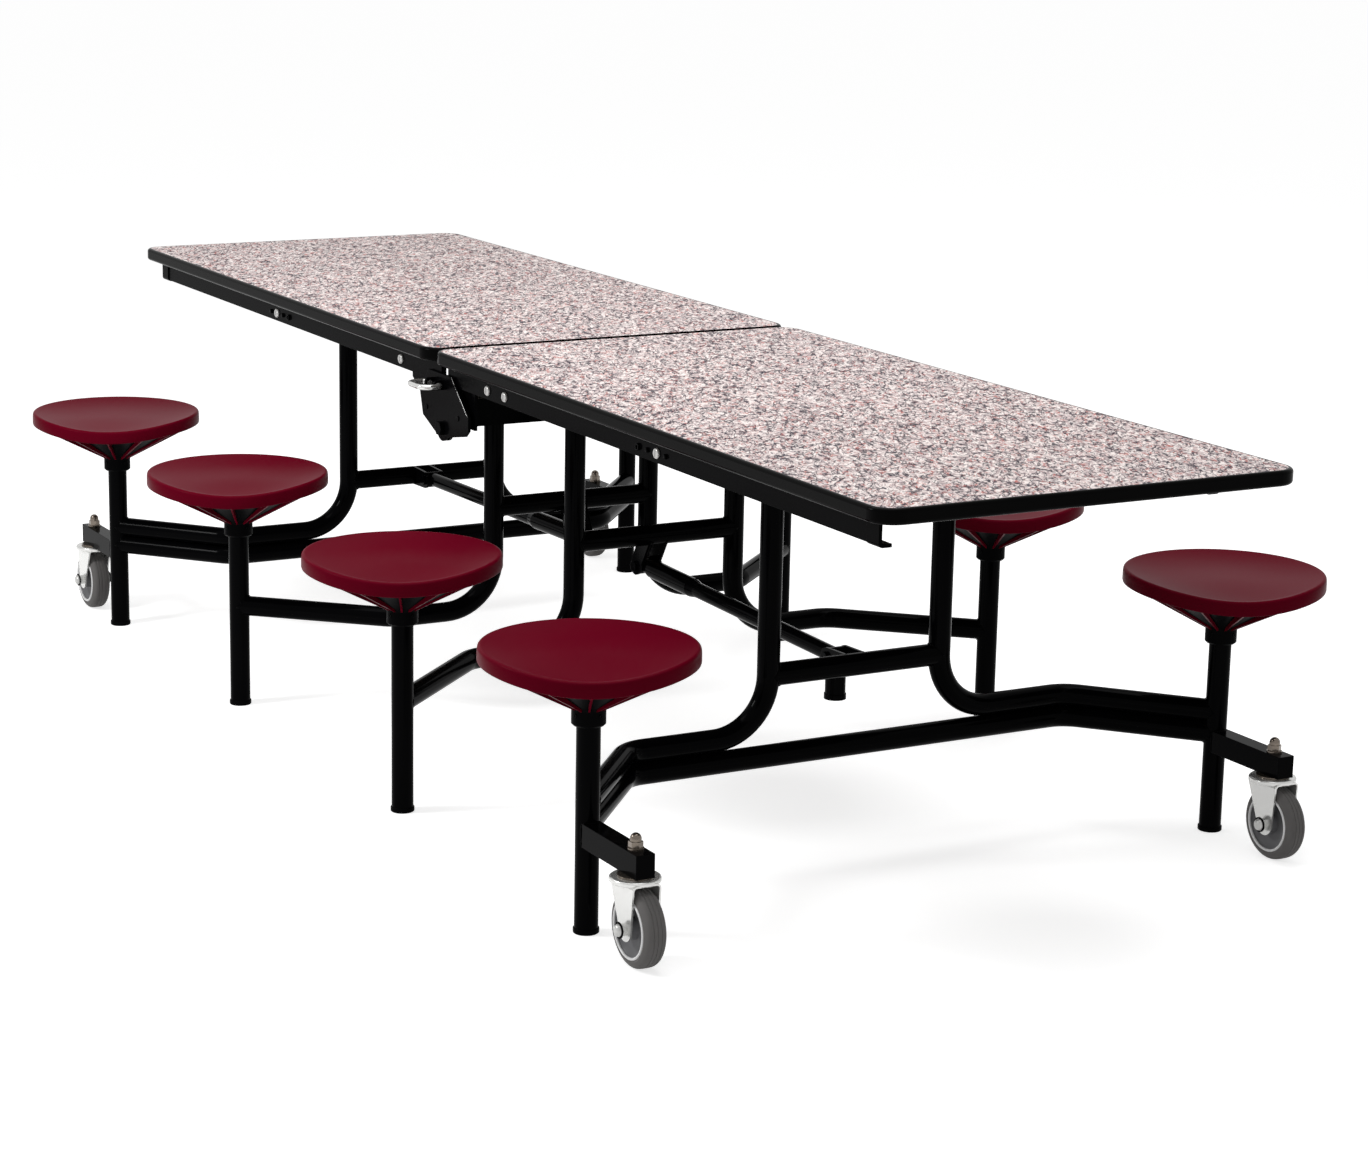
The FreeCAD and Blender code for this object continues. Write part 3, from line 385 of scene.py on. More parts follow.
# %% Layers of strokes over the ground colour
BOARD_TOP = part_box("near_top_board")[1].z
SHEET = 0.0015
GROUND = srgb(176, 160, 163), srgb(211, 193, 189)
BACKING = srgb(84, 72, 62), srgb(104, 92, 80)
STROKE_TURN, STROKE_STRETCH = math.radians(-29), 2.1
# Each layer is (paint, scale, seed, width, gate).
WHITE, TERRACOTTA = srgb(240, 231, 227), srgb(176, 86, 76)
STROKE_LAYERS = [(WHITE, 78.0, 3.0, 0.085, 0.28), (TERRACOTTA, 112.0, 23.0, 0.065, 0.50),
                 (WHITE, 126.0, 29.0, 0.070, 0.44), (srgb(20, 16, 36), 78.0, 11.0, 0.064, 0.35),
                 (srgb(30, 26, 46), 122.0, 17.0, 0.066, 0.44)]


def blend(tree, factor, first, second):
    """The colour first * (1 - factor) + second * factor."""
    mixed = add(tree, "Mix", {"Factor": factor, "A": first, "B": second}, data_type="RGBA")
    return mixed.outputs["Result"]


def laminate_finish():
    """Ground colour, then layers of strokes over it in their own colours; under the sheet, a plain backing."""
    material = bpy.data.materials.new("speckled laminate")
    material.use_nodes = True
    tree = material.node_tree
    shader = tree.nodes["Principled BSDF"]
    place = add(tree, "TexCoord").outputs["Object"]
    turned_place = add(tree, "Mapping", {"Vector": place, "Rotation": (0, 0, STROKE_TURN),
                                         "Scale": (STROKE_STRETCH, 1.0, 1.0)}, vector_type="TEXTURE").outputs[0]
    cloud = add(tree, "TexNoise", {"Vector": turned_place, "Scale": 160.0, "Detail": 2.0}).outputs["Fac"]
    color = blend(tree, cloud, *GROUND)
    for paint, scale, seed, width, gate in STROKE_LAYERS:
        stroke = grouped(tree, strokes_group, {"Scale": scale, "Seed": seed, "Width": width, "Gate": gate})
        tree.links.new(turned_place, stroke.inputs["Vector"])
        color = blend(tree, stroke.outputs["Mask"], color, paint)
    height = add(tree, "SeparateXYZ", {"Vector": place}).outputs["Z"]
    sheet = add(tree, "MapRange", {"Value": height, "From Min": BOARD_TOP - SHEET,
                                   "From Max": BOARD_TOP - SHEET / 2})
    color = blend(tree, sheet.outputs["Result"], blend(tree, cloud, *BACKING), color)
    grain = grouped(tree, grain_group, {"Scale": 1800.0, "Strength": 0.10, "Depth": 0.0001})
    gloss = add(tree, "MapRange", {"Value": cloud, "To Min": 0.38, "To Max": 0.48})
    tree.links.new(color, shader.inputs["Base Color"])
    tree.links.new(gloss.outputs["Result"], shader.inputs["Roughness"])
    tree.links.new(grain.outputs["Normal"], shader.inputs["Normal"])
    shader.inputs["Specular IOR Level"].default_value = 0.01
    return material


laminate = laminate_finish()
print("laminate nodes", len(laminate.node_tree.nodes))

# %% [markdown]
# ## Dress the solids
#
# Most solids already have the right shape, so they only get their finish. A list of name endings says which, and
# whatever it doesn't name is a powder coated tube.
# %% Finishes for the solids
DRESS = {"top_board": laminate, "top_edge": moulding_black, "side_rails": rail_black, "hinge_plates": rail_black,
         "hinge_bolts": rail_black, "hinge_beam": rail_black, "torsion_bars": bright_steel,
         "pivot_rods": bright_steel, "rail_rivets": bright_steel, "foot_caps": cap_black,
         "seat_sockets": cap_black, "seats": seat_maroon, "caster_stems": nickel, "caster_fork": zinc,
         "caster_wheel": wheel_grey, "latch_handle": chrome}
for name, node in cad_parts.items():
    material = next((m for ending, m in DRESS.items() if name.endswith(ending)), powder_black)
    node.data.materials.clear()
    node.data.materials.append(material)
print("dressed", len(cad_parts))


# %% [markdown]
# ## Where the pieces are
#
# Every place could be typed in again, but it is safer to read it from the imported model. A node that holds a front
# and a back copy has a box that reaches from one to the other, and each copy is as wide as the box is long, so the
# box gives both centres.
# %% Centres of paired pieces
def paired(node):
    """Middle x, distance of each copy from the centre line, radius, lowest and highest z of a pair."""
    low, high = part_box(node)
    radius = (high.x - low.x) / 2
    return (low.x + high.x) / 2, high.y - radius, radius, low.z, high.z


STOOLS = [(half, ring) for half in HALVES for ring in ("outer", "inner")]
for half, ring in STOOLS:
    print(half, ring, [round(v, 4) for v in paired(f"{half}_{ring}_seats")])

# %% [markdown]
# ## Seats
#
# Each stool is one moulding. Its top is dished, and the rim rolls over into a lip about an inch tall. The rim isn't
# level: it dips at one place, which gives the seat its soft saddle look. A sculpted mesh could show that, but a
# formula keeps all eight seats alike. The skin is a turned profile whose height also drops by a power of the cosine,
# so the dip is strongest at one angle and fades out to both sides.
# %% The seat's skin
SEAT_DIP, SEAT_DIP_ANGLE, SEAT_DIP_POWER = 0.015, math.radians(-27), 6
SEAT_DISH, DISH_POWER, DIP_SHARE_POWER = 0.012, 3.2, 2.4
DISH_SHORT = 0.0009
SEAT_ROLL, ROLL_INSET, ROLL_RADIUS = 0.010, 0.0056, 0.0050
SEAT_LIP = 0.025
SEAT_WALL = 0.004
# The lip's outside, foot and inside, as (inwards from the seat's radius, up from the lip's foot).
LIP_SECTION = np.array([(0.0002, 0.017), (0, 0.003), (0.0006, 0.0009), (0.002, 0.0001), (SEAT_WALL, 0.0012),
                        (SEAT_WALL, 0.013)])
SEAT_COLUMNS, DISH_ROWS = 144, 26


def dish_height(reach):
    """Height over the middle of the dish, and the share of the dip, at a reach from 0 to 1."""
    return (SEAT_DISH - DISH_SHORT) * reach ** DISH_POWER, reach ** DIP_SHARE_POWER


def dip_at(angle):
    """Dip = depth * ((1 + cos(angle - dip angle)) / 2) to a power, so it is local and fades out smoothly."""
    return SEAT_DIP * ((1 + np.cos(angle - SEAT_DIP_ANGLE)) / 2) ** SEAT_DIP_POWER


def seat_profile(radius, rim_z):
    """Rows of (radius, height, share of the dip) over the dish, round the lip and back under the dish."""
    reach = np.linspace(0, 1, DISH_ROWS)
    rise, share = dish_height(reach)
    top = np.stack([reach * (radius - SEAT_ROLL), rim_z - SEAT_DISH + rise, share], axis=1)
    edge = arc((radius - ROLL_INSET, rim_z - ROLL_RADIUS), ROLL_RADIUS, start=98, end=8, count=9)
    side = np.concatenate([edge, np.array([radius, rim_z - SEAT_LIP]) + LIP_SECTION * [-1, 1]])
    side = np.column_stack([side, np.ones(len(side))])
    under = top[::-1].copy()
    under[:, 0] *= (radius - 2 * SEAT_WALL) / (radius - SEAT_ROLL)
    under[:, 1] -= SEAT_WALL
    return np.concatenate([top, side, under])


def seat_skin(x, y, radius, rim_z):
    """Height = profile height minus dip share times the dip at the point's angle."""
    rows = seat_profile(radius, rim_z)
    angle = np.arange(SEAT_COLUMNS) * TURN / SEAT_COLUMNS
    grid = np.empty((len(rows), SEAT_COLUMNS, 3))
    grid[..., 0] = x + rows[:, :1] * np.cos(angle)
    grid[..., 1] = y + rows[:, :1] * np.sin(angle)
    grid[..., 2] = rows[:, 1:2] - rows[:, 2:3] * dip_at(angle)
    return grid, False, True


print("rim's dip a quarter turn away, in mm:", round(1000 * float(dip_at(SEAT_DIP_ANGLE + TURN / 4)), 3))

# %% [markdown]
# The ribs below a seat are thin fins. Each one starts beside the socket's top, and its lower edge runs straight to
# the inside of the lip. Its upper edge stays in the skin, so it follows the dish and the dip. A black cone fills the
# space round the hub and laps over the socket's top. It is in part a black mounting plate and in part painted shade,
# the deep shade under the seat, and the ribs stand out of it as thin maroon lines.
# %% A rib
RIB_COUNT, RIB_ROWS = 14, 16
RIB_HALF = 0.0015
RIB_START = 0.0275
RIB_OVER_FOOT = 0.003
RIB_SINK = SEAT_WALL * 0.6


def seat_rib(x, y, angle, radius, floor_z, rim_z):
    """A fin: rows run outwards, and each row is a closed strip of four corners, roof and floor on both faces."""
    outer = radius - RIB_SINK
    radial = np.linspace(RIB_START, outer, RIB_ROWS)
    rise, share = dish_height(np.clip(radial / (radius - SEAT_ROLL), 0, 1))
    roof = rim_z - SEAT_DISH + rise - share * dip_at(angle) - RIB_SINK
    edge_z = rim_z - SEAT_LIP + RIB_OVER_FOOT - dip_at(angle)
    lower = floor_z + (edge_z - floor_z) * (radial - RIB_START) / (outer - RIB_START)
    out = np.array([math.cos(angle), math.sin(angle)])
    across = np.array([-out[1], out[0]]) * RIB_HALF
    middle = np.array([x, y]) + radial[:, None] * out
    sides = [(middle + across, lower), (middle - across, lower), (middle - across, roof), (middle + across, roof)]
    grid = np.stack([np.column_stack([plan, height]) for plan, height in sides], axis=1)
    ends = grid[[0, -1]].mean(axis=1, keepdims=True).repeat(4, axis=1)
    return np.concatenate([ends[:1], grid, ends[1:]]), False, True


print("degrees from rib to rib", round(360 / RIB_COUNT, 1))

# %% The black cone of plate and painted shade, and whole seats
CONE_RADIUS, CONE_SKIRT, CONE_KNEE = 0.128, 0.007, 0.005
# The skirt's radii: inside at its top and foot, outside at its foot and where the cone begins.
SKIRT = 0.0268, 0.0272, 0.0280, 0.0300
CONE_EDGE = 0.006, 0.010
HUB_ROOF = 0.014


def cone_profile(floor_z, foot_z, edge_z, roof):
    """Section: under the hub, down and up round the skirt, out along the cone, and back in under the dish."""
    top_in, foot_in, foot_out, knee = SKIRT
    return [(0, floor_z), (top_in, floor_z), (foot_in, foot_z), (foot_out, foot_z), (knee, foot_z + CONE_KNEE),
            (CONE_RADIUS, edge_z + CONE_EDGE[0]), (CONE_RADIUS, edge_z + CONE_EDGE[1]),
            (RIB_START, floor_z + HUB_ROOF), (RIB_START, roof), (0, roof)]


def make_seats(half, ring):
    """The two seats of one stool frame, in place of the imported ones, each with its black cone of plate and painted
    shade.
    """
    node = f"{half}_{ring}_seats"
    x, out, radius, floor_z, rim_z = paired(node)
    body = f"{half}_{ring}_frame"
    grids, plate_and_shade_cones = [], []
    foot_z = floor_z - CONE_SKIRT
    edge_z = foot_z + (rim_z - SEAT_LIP - foot_z) * (CONE_RADIUS - RIB_START) / (radius - RIB_START)
    cone = cone_profile(floor_z, foot_z, edge_z, rim_z - SEAT_DISH - RIB_SINK)
    for y in (-out, out):
        grids.append(seat_skin(x, y, radius, rim_z))
        grids += [seat_rib(x, y, rib * TURN / RIB_COUNT, radius, foot_z, rim_z) for rib in range(RIB_COUNT)]
        plate_and_shade_cones.append(turned(cone, (x, y, 0), count=72))
    made = piece(f"{half}_{ring}_moulded_seats", grids, body, seat_maroon, smooth_angle=50)
    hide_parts(node)
    # The black cone, hub included, is in part a mounting plate and in part painted shade under the seat.
    piece(f"{half}_{ring}_seat_cones", plate_and_shade_cones, body, cap_black, smooth_angle=50)
    return made


seats = [make_seats(half, ring) for half, ring in STOOLS]
print("seat faces", [len(s.data.polygons) for s in seats])

# %% [markdown]
# ## Weld beads
#
# Where one tube runs into another there is a bead of weld under the paint. A plain ring would float off the round
# surfaces, so the bead's line is worked out. For two round tubes it is a saddle: seen along the tube it is a circle,
# and its depth follows the upright tube's own circle. The bead swells and shrinks as the welder's hand moved on.
# %% Where tubes meet
TUBE_RADIUS = 0.01905
LEG_Y, POST_Y = 0.168, 0.606
OUTER_POST = (1.080, POST_Y)
INNER_POST = (0.384, POST_Y)
OUTER_LEG, INNER_LEG = (0.876, LEG_Y), (0.170, LEG_Y)
OUTER_SLANT, INNER_SLANT, ALONG_Y = (0.204, 0.176), (0.214, 0.231), (0, 1)
ARM_HALF_WIDTH, ARM_FLOOR, ARM_ROOF = 0.016, 0.143, 0.181
# Each joint is (middle of the upright, direction of the tube that meets it, height of that tube).
ROUND_JOINTS = {"outer": [(OUTER_POST, OUTER_SLANT, 0.213), (OUTER_POST, OUTER_SLANT, 0.1747),
                          (OUTER_LEG, ALONG_Y, 0.313)],
                "inner": [(INNER_POST, INNER_SLANT, 0.196), (INNER_LEG, ALONG_Y, 0.393)]}
print("round joints on a quarter of the table", sum(len(joints) for joints in ROUND_JOINTS.values()))

# %% Beads round the joints
BEAD, BEAD_POINTS = 0.0015, 96
BEAD_LIFT, BEAD_INSET = 0.0002, 0.95
SQUARENESS = 0.25


def bead_along(path):
    """A bead on a closed line: radius = bead * (1 + 0.18 sin 17t + 0.10 sin(29t + 1)), with t once round."""
    t = np.arange(len(path)) * TURN / len(path)
    return swept(path, BEAD * (1 + 0.18 * np.sin(17 * t) + 0.10 * np.sin(29 * t + 1)), count=8)


def saddle_bead(centre, slant, z):
    """Point = centre - ahead * sqrt(R^2 - side^2) + across * side, at height z + R * sin t.

    Side = R * cos t, drawn in a little so that the root never reaches zero.
    """
    t = np.arange(BEAD_POINTS) * TURN / BEAD_POINTS
    ahead = np.array(slant) / np.linalg.norm(slant)
    across = np.array([-ahead[1], ahead[0]])
    radius = TUBE_RADIUS + BEAD_LIFT
    side = BEAD_INSET * radius * np.cos(t)
    plan = np.array(centre) - ahead * np.sqrt(radius ** 2 - side ** 2)[:, None] + across * side[:, None]
    return bead_along(np.column_stack([plan, z + radius * np.sin(t)]))


def squared(wave):
    """A sine or cosine pushed towards -1 and 1 by a low power, so that a circle becomes a rounded square."""
    return np.sign(wave) * np.abs(wave) ** SQUARENESS


def box_bead():
    """The bead round the square end of a caster arm: a rounded rectangle laid on the post's surface."""
    t = np.arange(BEAD_POINTS) * TURN / BEAD_POINTS
    across = ARM_HALF_WIDTH * squared(np.cos(t))
    height = (ARM_ROOF + ARM_FLOOR) / 2 + (ARM_ROOF - ARM_FLOOR) / 2 * squared(np.sin(t))
    plan_x = OUTER_POST[0] + np.sqrt(TUBE_RADIUS ** 2 - across ** 2)
    return bead_along(np.column_stack([plan_x, POST_Y + across, height]))


def in_both_sides(half, grids):
    """Copies of grids made for +X and +Y, at the front and the back of one half: x and y change sign."""
    return [(points * np.array([HALVES[half], side, 1.0]), wrap_rows, wrap_columns)
            for points, wrap_rows, wrap_columns in grids for side in SIDES.values()]


for half, ring in STOOLS:
    grids = [saddle_bead(*joint) for joint in ROUND_JOINTS[ring]]
    if ring == "outer":
        grids.append(box_bead())
    beads = piece(f"{half}_{ring}_weld_beads", in_both_sides(half, grids), f"{half}_{ring}_frame",
                  powder_black, smooth_angle=60)
    print(beads.name, len(beads.data.polygons))

# %% [markdown]
# ## Heads on the rails
#
# The rails carry bright slotted heads and small dark ones. A slot could be cut with a boolean, but at this size a
# thin dark bar let into the flat, as painted shade inside the slot, looks the same and leaves a clean mesh. A head
# is turned: flat on top, rounded at its edge.
# %% Sections of the heads
SLOTTED = {"near": (0.182, 0.252, 0.814), "far": (0.195, 0.814)}
SMALL_DARK, HOLLOW_DARK = (0.782, 0.844), 0.751
RIVET_Z, RIVET_RISE = 0.688, 0.004
RIVET_RADIUS, SMALL_RADIUS = 0.009, 0.0045
HOLLOW_WIDER = 1.4
SLOT_SHADE_SINK, SLOT_SHADE_HALF = 0.0004, (0.0008, 0.00045, 0.0052)
FLAT, SHOULDER = 0.72, 0.3


def head_profile(radius, rise):
    """Section of a flat head with a rounded edge, closed below: a quarter circle, stretched to the two radii."""
    edge = arc((radius * FLAT, rise * SHOULDER), 1.0, start=90, end=0, count=7)
    edge = (edge - edge[0]) * [radius * (1 - FLAT), rise * (1 - SHOULDER)] + [radius * FLAT, rise]
    return np.concatenate([[(0, rise)], edge, [(radius, 0), (0, 0)]])


def hollow_profile(radius, rise):
    """Section of a hollow head: a rim round a deep middle."""
    shares = np.array([(0, 0.15), (0.55, 0.15), (0.62, 1), (0.9, 1), (1, 0), (0, 0)])
    return shares * [radius, rise]


print("points of a head's section", len(head_profile(RIVET_RADIUS, RIVET_RISE)))

# %% Place the heads
for half in HALVES:
    node = f"{half}_rail_rivets"
    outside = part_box(node)[1].y
    face = outside - RIVET_RISE
    bright = [turned(head_profile(RIVET_RADIUS, RIVET_RISE), (x, face, RIVET_Z), ACROSS, 32) for x in SLOTTED[half]]
    dark = [turned(head_profile(SMALL_RADIUS, RIVET_RISE), (x, face, RIVET_Z), ACROSS, 24) for x in SMALL_DARK]
    hollow = hollow_profile(SMALL_RADIUS * HOLLOW_WIDER, RIVET_RISE)
    dark.append(turned(hollow, (HOLLOW_DARK, face, RIVET_Z), ACROSS, 32))
    # The slots are thin dark bars: painted shade inside each slot.
    dark += [slab((x, outside - SLOT_SHADE_SINK, RIVET_Z), SLOT_SHADE_HALF) for x in SLOTTED[half]]
    heads = piece(f"{half}_slotted_heads", in_both_sides(half, bright), f"{half}_top", bright_steel,
                  smooth_angle=35)
    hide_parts(node)
    piece(f"{half}_dark_heads_and_slot_shade", in_both_sides(half, dark), f"{half}_top", powder_black,
          smooth_angle=35)
    print(half, "slotted heads", 2 * len(bright), "dark pieces", 2 * len(dark))

# %% [markdown]
# ## Painted highlights on the hinge shields
#
# On the shield-shaped hinge plates one slanting edge catches the light as a thin bright line. A mask in the
# paint would need the plate's outline, so a hair-thin bright thread lies on the edge instead, as a painted
# highlight. It is thickest in the middle and runs out to both ends.
# %% Painted highlight threads on the shields
SHIELD_EDGE = np.array([(0.042, 0.690), (0.112, 0.628)])
HIGHLIGHT_POINTS, HIGHLIGHT_THIN, HIGHLIGHT_SWELL = 12, 0.0002, 0.0004
plate_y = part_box("near_hinge_plates")[1].y
steps = np.linspace(0, 1, HIGHLIGHT_POINTS)[:, None]
line = SHIELD_EDGE[0] * (1 - steps) + SHIELD_EDGE[1] * steps
painted_highlight = HIGHLIGHT_THIN + HIGHLIGHT_SWELL * np.sin(np.pi * steps[:, 0]) ** 0.5
edge = swept(np.column_stack([line[:, 0], np.full(HIGHLIGHT_POINTS, plate_y), line[:, 1]]), painted_highlight, closed=False, count=8)
# The bright steel thread is a painted highlight along the shield's edge.
piece("near_shield_edge_highlights", in_both_sides("near", [edge]), "near_top", bright_steel,
      smooth_angle=60)
print("thickest wear, in mm across:", round(2000 * painted_highlight.max(), 2))

# %% [markdown]
# ## Lips at the joint
#
# Where the halves meet, the edge moulding folds over the laminate as a narrow black lip, so the joint reads as one
# dark line. It could be painted on with a mask, but a thin bar is real relief, and it rides on its own half when the
# table folds.
# %% Lips of the moulding at the joint
LIP_WIDTH, LIP_RISE, LIP_CORNER = 0.009, 0.0001, 0.030
LIP_HALF = 0.0005
for half, sign in HALVES.items():
    low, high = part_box(f"{half}_top_edge")
    inner = min(abs(low.x), abs(high.x))
    lip = slab((sign * (inner + LIP_WIDTH / 2), 0, high.z - LIP_HALF + LIP_RISE),
               (LIP_WIDTH / 2, high.y - LIP_CORNER, LIP_HALF))
    piece(f"{half}_joint_lip", [lip], f"{half}_top", joint_black, smooth_angle=35)
    print(half, "joint lip", round(inner, 4), round(high.z, 4))

# %% [markdown]
# ## Screws in the collars
#
# The collar under each seat holds four small screws, one on each side. They are turned heads with a shallow middle.
# They could be copies of one mesh, but a finished piece sits at the origin here, so each head is worked out in its
# own place.
# %% Collar screws
SCREW_ANGLES = np.radians([15, 105, 195, 285])
SCREW_DROP = 0.45
SCREW = [(0, 0.0002), (0.0015, 0.0002), (0.0017, 0.0012), (0.0030, 0.0012), (0.0036, 0.0004), (0.0036, -0.001),
         (0, -0.001)]

for half, ring in STOOLS:
    x, out, radius, floor_z, roof_z = paired(f"{half}_{ring}_seat_sockets")
    screws = []
    for y in (-out, out):
        for angle in SCREW_ANGLES:
            away = np.array([math.cos(angle), math.sin(angle), 0])
            place = np.array([x, y, roof_z - SCREW_DROP * (roof_z - floor_z)]) + away * radius
            screws.append(turned(SCREW, place, away, 20))
    piece(f"{half}_{ring}_collar_screws", screws, f"{half}_{ring}_frame", powder_black,
          smooth_angle=35)

# %% [markdown]
# ## Wheels
#
# A caster wheel is grey rubber on a moulded centre. The tread is crowned and carries fine mould lines, a pale ring
# stands where the rubber meets the centre, and the centre is dished. Lines and ring could be colour bands on one
# turned shape, but as real notches and a real ring they also catch the light.
# %% Sections of a wheel
TREAD_LINES, TREAD_DEPTH, TREAD_WIDTH = np.array([-0.35, 0.0, 0.35]), 0.0010, 0.030
CROWN_DROP, CROWN_POWER = 0.011, 4.5
RIM_STEP, HUB_STEP = 0.0015, 0.0008


def tyre_profile(radius, half_width, rim):
    """Crowned section: radius less drop * place across to a power, less a bell-shaped notch at each line."""
    across = np.linspace(-1, 1, 81)
    crown = radius - CROWN_DROP * np.abs(across) ** CROWN_POWER
    for line in TREAD_LINES:
        crown -= TREAD_DEPTH * np.exp(-((across - line) / TREAD_WIDTH) ** 2)
    tread = np.stack([crown, across * half_width], axis=1)
    foot = [(rim, -half_width + RIM_STEP)]
    return np.concatenate([foot, tread, [(rim, half_width - RIM_STEP)], foot])


def web_profile(rim, half_width, hub, half_hub, bore):
    """The centre's section: hub end, hub side, dished web and rim, the same on both faces."""
    # Each point of the web is (radius, depth below the wheel's side).
    dished = [(hub + 0.002, 0.010), (rim * 0.72, 0.0105), (rim * 0.92, 0.006), (rim, RIM_STEP)]
    face = [(bore, half_hub), (hub, half_hub - HUB_STEP)] + [(r, half_width - depth) for r, depth in dished]
    mirror = [(r, -h) for r, h in reversed(face)]
    return np.array(face + mirror + face[:1])


print("points of a tyre's section", len(tyre_profile(0.06, 0.015, 0.046)))

# %% Turn the wheels
WHEEL_RIM, WHEEL_HUB, WHEEL_BORE = 0.046, 0.016, 0.0049
HUB_PROUD = 0.002
RING_RADIUS, RING_SINK = 0.0023, 0.0012


def wheel_middle(half, side):
    """Centre of a caster wheel's box, its radius and half of its hub's length."""
    low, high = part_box(f"{half}_{side}_caster_wheel")
    radius = (high.z - low.z) / 2
    centre = np.array([(low.x + high.x) / 2, (low.y + high.y) / 2, low.z + radius])
    return centre, radius, (high.y - low.y) / 2


def make_wheel(half, side):
    """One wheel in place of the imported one: tyre, centre and pale rings."""
    node = f"{half}_{side}_caster_wheel"
    body = f"{half}_{side}_wheel"
    centre, radius, half_hub = wheel_middle(half, side)
    half_width = half_hub - HUB_PROUD
    profile = tyre_profile(radius, half_width, WHEEL_RIM)
    tyre = piece(f"{half}_{side}_wheel_tyre", [turned(profile, centre, ACROSS, 96)], body,
                 wheel_grey, smooth_angle=30)
    web = web_profile(WHEEL_RIM, half_width, WHEEL_HUB, half_hub, WHEEL_BORE)
    middle = piece(f"{half}_{side}_wheel_centre", [turned(web, centre, ACROSS, 72)], body,
                   wheel_web, smooth_angle=30)
    rings = []
    for face in (-1, 1):
        place = centre + np.array([0, face * (half_width - RING_SINK), 0])
        rings.append(turned(arc((WHEEL_RIM, 0), RING_RADIUS, start=0, end=360, count=13), place, (0, face, 0), 96))
    bead = piece(f"{half}_{side}_wheel_rings", rings, body, bead_pale, smooth_angle=60)
    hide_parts(node)
    return [tyre, middle, bead]


wheels = [make_wheel(half, side) for half in HALVES for side in SIDES]
print("wheels", len(wheels), "faces of one", [len(part.data.polygons) for part in wheels[0]])

# %% [markdown]
# ## Ends of the axle bolts
#
# Each fork leg shows a bright domed cap over the axle bolt, inside a dark ring of painted shade where the cap meets
# the pressed eye. The solid has a plain bolt head there. A cap and a ring are turned about the axle and stand just
# over it, so nothing is replaced.
# %% Caps and painted shade rings on the axle bolts
AXLE_HEAD = 0.006
CAP_RADIUS, RING_INNER, RING_OUTER, SUNK = 0.0100, 0.0104, 0.0128, 0.0010
AXLE_CAP = [(0, AXLE_HEAD + 0.0012), (0.003, AXLE_HEAD + 0.0010), (0.0065, AXLE_HEAD + 0.0002), (0.0090, 0.0042),
            (CAP_RADIUS, 0.0010), (CAP_RADIUS, -SUNK), (0, -SUNK)]
AXLE_SHADE_RING = [(RING_INNER, 0.0010), (RING_OUTER, 0.0008), (RING_OUTER, -SUNK), (RING_INNER, -SUNK),
             (RING_INNER, 0.0010)]


def make_axle_caps(half, side):
    """A domed cap over each end of the axle bolt, and a dark ring of painted shade round it, in the crevice at the
    eye.
    """
    centre = wheel_middle(half, side)[0]
    low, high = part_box(f"{half}_{side}_caster_fork")
    reach = (high.y - low.y) / 2 - AXLE_HEAD
    ends = [(centre + [0, face * reach, 0], (0, face, 0), 40) for face in (-1, 1)]
    caps = [turned(AXLE_CAP, *end) for end in ends]
    rings = [turned(AXLE_SHADE_RING, *end) for end in ends]
    piece(f"{half}_{side}_axle_caps", caps, f"{half}_{side}_fork", bright_steel)
    # The dark ring is painted shade in the crevice round each cap.
    piece(f"{half}_{side}_axle_shade_rings", rings, f"{half}_{side}_fork", cap_black)
    return reach


for half in HALVES:
    for side in SIDES:
        print(half, side, "eyes from the wheel's middle", round(make_axle_caps(half, side), 4))

# %% [markdown]
# ## Floor and background
#
# The table stands on a plain white sweep. The floor keeps the soft shadows under the feet. To the rays that show a
# background, straight from the camera or mirrored in metal, the floor is lifted and the world is plain white. All
# other rays meet the plain floor and a dimmer world, so the background stays white and the object isn't washed out.
# Stronger lamps would whiten the floor too, but they would bleach the table with it.
# %% White floor
FLOOR_REACH = 30.0
FLOOR_LIFT = 0.70
FLOOR_PAPER = srgb(236, 236, 236)


def shows_background(tree):
    """One for camera, glossy and transmission rays, zero for the rest: the largest of the three flags."""
    rays = add(tree, "LightPath").outputs
    either = add(tree, "Math", {0: rays["Is Camera Ray"], 1: rays["Is Glossy Ray"]}, operation="MAXIMUM").outputs[0]
    return add(tree, "Math", {0: either, 1: rays["Is Transmission Ray"]}, operation="MAXIMUM").outputs[0]


def floor_finish():
    """White diffuse floor, with some white added for the rays that show a background."""
    material = bpy.data.materials.new("studio floor")
    material.use_nodes = True
    tree = material.node_tree
    tree.nodes.clear()
    lift = add(tree, "Math", {0: shows_background(tree), 1: FLOOR_LIFT}, operation="MULTIPLY")
    paper = add(tree, "BsdfDiffuse", {"Color": FLOOR_PAPER})
    glow = add(tree, "Emission", {"Color": (1, 1, 1, 1), "Strength": lift.outputs[0]})
    both = add(tree, "AddShader", {0: paper.outputs[0], 1: glow.outputs[0]})
    out = add(tree, "OutputMaterial")
    tree.links.new(both.outputs[0], out.inputs["Surface"])
    return material


floor_mesh = bpy.data.meshes.new("studio_floor")
floor_mesh.from_pydata([(-FLOOR_REACH, -FLOOR_REACH, 0), (FLOOR_REACH, -FLOOR_REACH, 0),
                        (FLOOR_REACH, FLOOR_REACH, 0), (-FLOOR_REACH, FLOOR_REACH, 0)], [], [(0, 1, 2, 3)])
floor_mesh.materials.append(floor_finish())
floor = bpy.data.objects.new("studio_floor", floor_mesh)
bpy.context.scene.collection.objects.link(floor)
print("floor", 2 * FLOOR_REACH, "m square")

# %% White world
AMBIENT = 0.34
world = bpy.data.worlds.new("studio world")
bpy.context.scene.world = world
world.use_nodes = True
world_tree = world.node_tree
level = add(world_tree, "MapRange", {"Value": shows_background(world_tree), "To Min": AMBIENT, "To Max": 1.0})
backdrop = world_tree.nodes["Background"]
backdrop.inputs["Color"].default_value = (1, 1, 1, 1)
world_tree.links.new(level.outputs["Result"], backdrop.inputs["Strength"])
print("world nodes", len(world_tree.nodes))


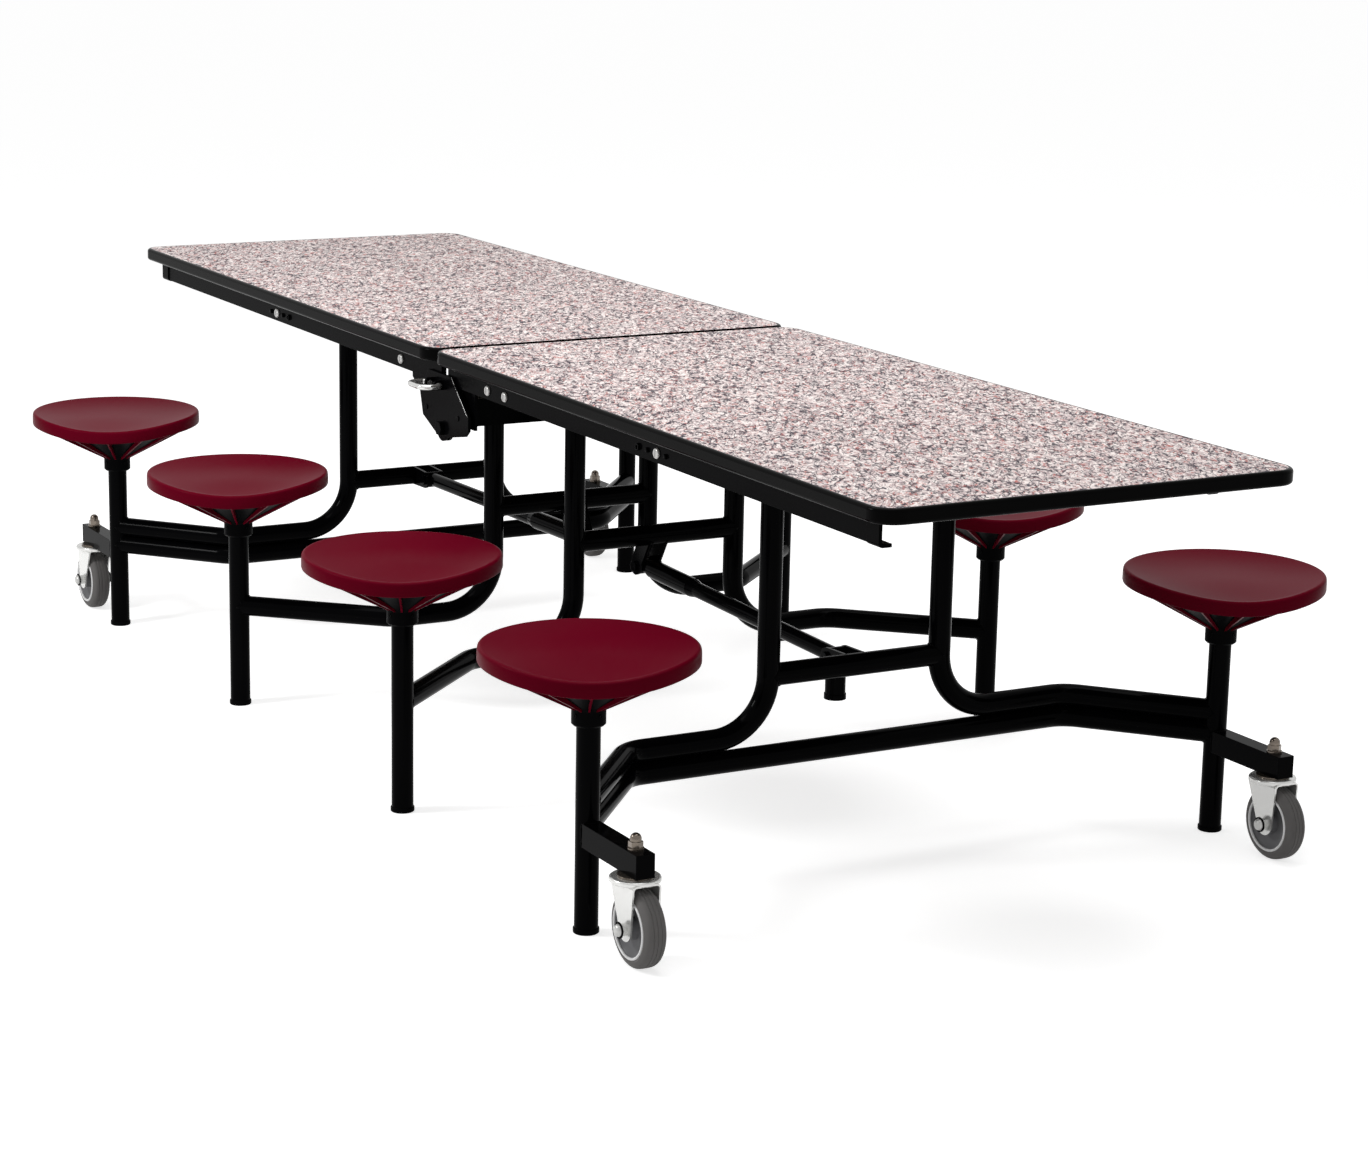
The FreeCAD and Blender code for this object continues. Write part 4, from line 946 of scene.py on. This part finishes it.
# %% [markdown]
# ## Lamps and camera
#
# One big soft lamp over the table lights the top evenly, and a smaller one from the front left draws the highlights
# on the seat rims. A sun would give hard shadows, which a white studio doesn't have. Their power is chosen so that a
# pale surface comes out about as it is written.
# %% Lamps
def soft_lamp(name, place, aim, size, power):
    """A square area lamp at a place, turned to aim at a point."""
    data = bpy.data.lights.new(name, "AREA")
    data.size = size
    data.energy = power
    lamp = bpy.data.objects.new(name, data)
    lamp.location = place
    lamp.rotation_euler = (Vector(aim) - Vector(place)).to_track_quat("-Z", "Y").to_euler()
    bpy.context.scene.collection.objects.link(lamp)
    return lamp


lamps = [soft_lamp("overhead softbox", place=(0.2, -0.3, 3.6), aim=(0, 0, 0.4), size=3.2, power=98),
         soft_lamp("front left softbox", place=(-0.6, -3.4, 2.4), aim=(0.2, 0, 0.4), size=0.7, power=56)]
print("lamps", [lamp.name for lamp in lamps])

# %% [markdown]
# The camera stands at the near right corner, a little above the top, with a long lens. Its place and angles were
# found by matching the corners of the top and the feet of the stools. It is set by its three axes and then rolled,
# which is plainer than three nested angles.
# %% Camera
IMAGE_WIDTH = 1368
FOCAL_PIXELS = 3212.5
CAMERA_PLACE = (5.275, -2.784, 1.675)
CAMERA_AZIMUTH, CAMERA_ELEVATION, CAMERA_ROLL = math.radians(60.85), math.radians(13.15), math.radians(1.12)

lens = bpy.data.cameras.new("view of the table")
lens.sensor_width = 36.0
lens.sensor_fit = "HORIZONTAL"
lens.lens = FOCAL_PIXELS / IMAGE_WIDTH * lens.sensor_width
camera = bpy.data.objects.new("camera", lens)
back = Vector((math.sin(CAMERA_AZIMUTH) * math.cos(CAMERA_ELEVATION),
               -math.cos(CAMERA_AZIMUTH) * math.cos(CAMERA_ELEVATION), math.sin(CAMERA_ELEVATION)))
right = Vector((math.cos(CAMERA_AZIMUTH), math.sin(CAMERA_AZIMUTH), 0))
up = back.cross(right)
right, up = (math.cos(CAMERA_ROLL) * right + math.sin(CAMERA_ROLL) * up,
             math.cos(CAMERA_ROLL) * up - math.sin(CAMERA_ROLL) * right)
facing = Matrix((right, up, back)).transposed()
camera.matrix_world = Matrix.Translation(CAMERA_PLACE) @ facing.to_4x4()
bpy.context.scene.collection.objects.link(camera)
bpy.context.scene.camera = camera
bpy.context.scene.view_settings.view_transform = "Standard"
print("lens", round(lens.lens, 1), "mm")
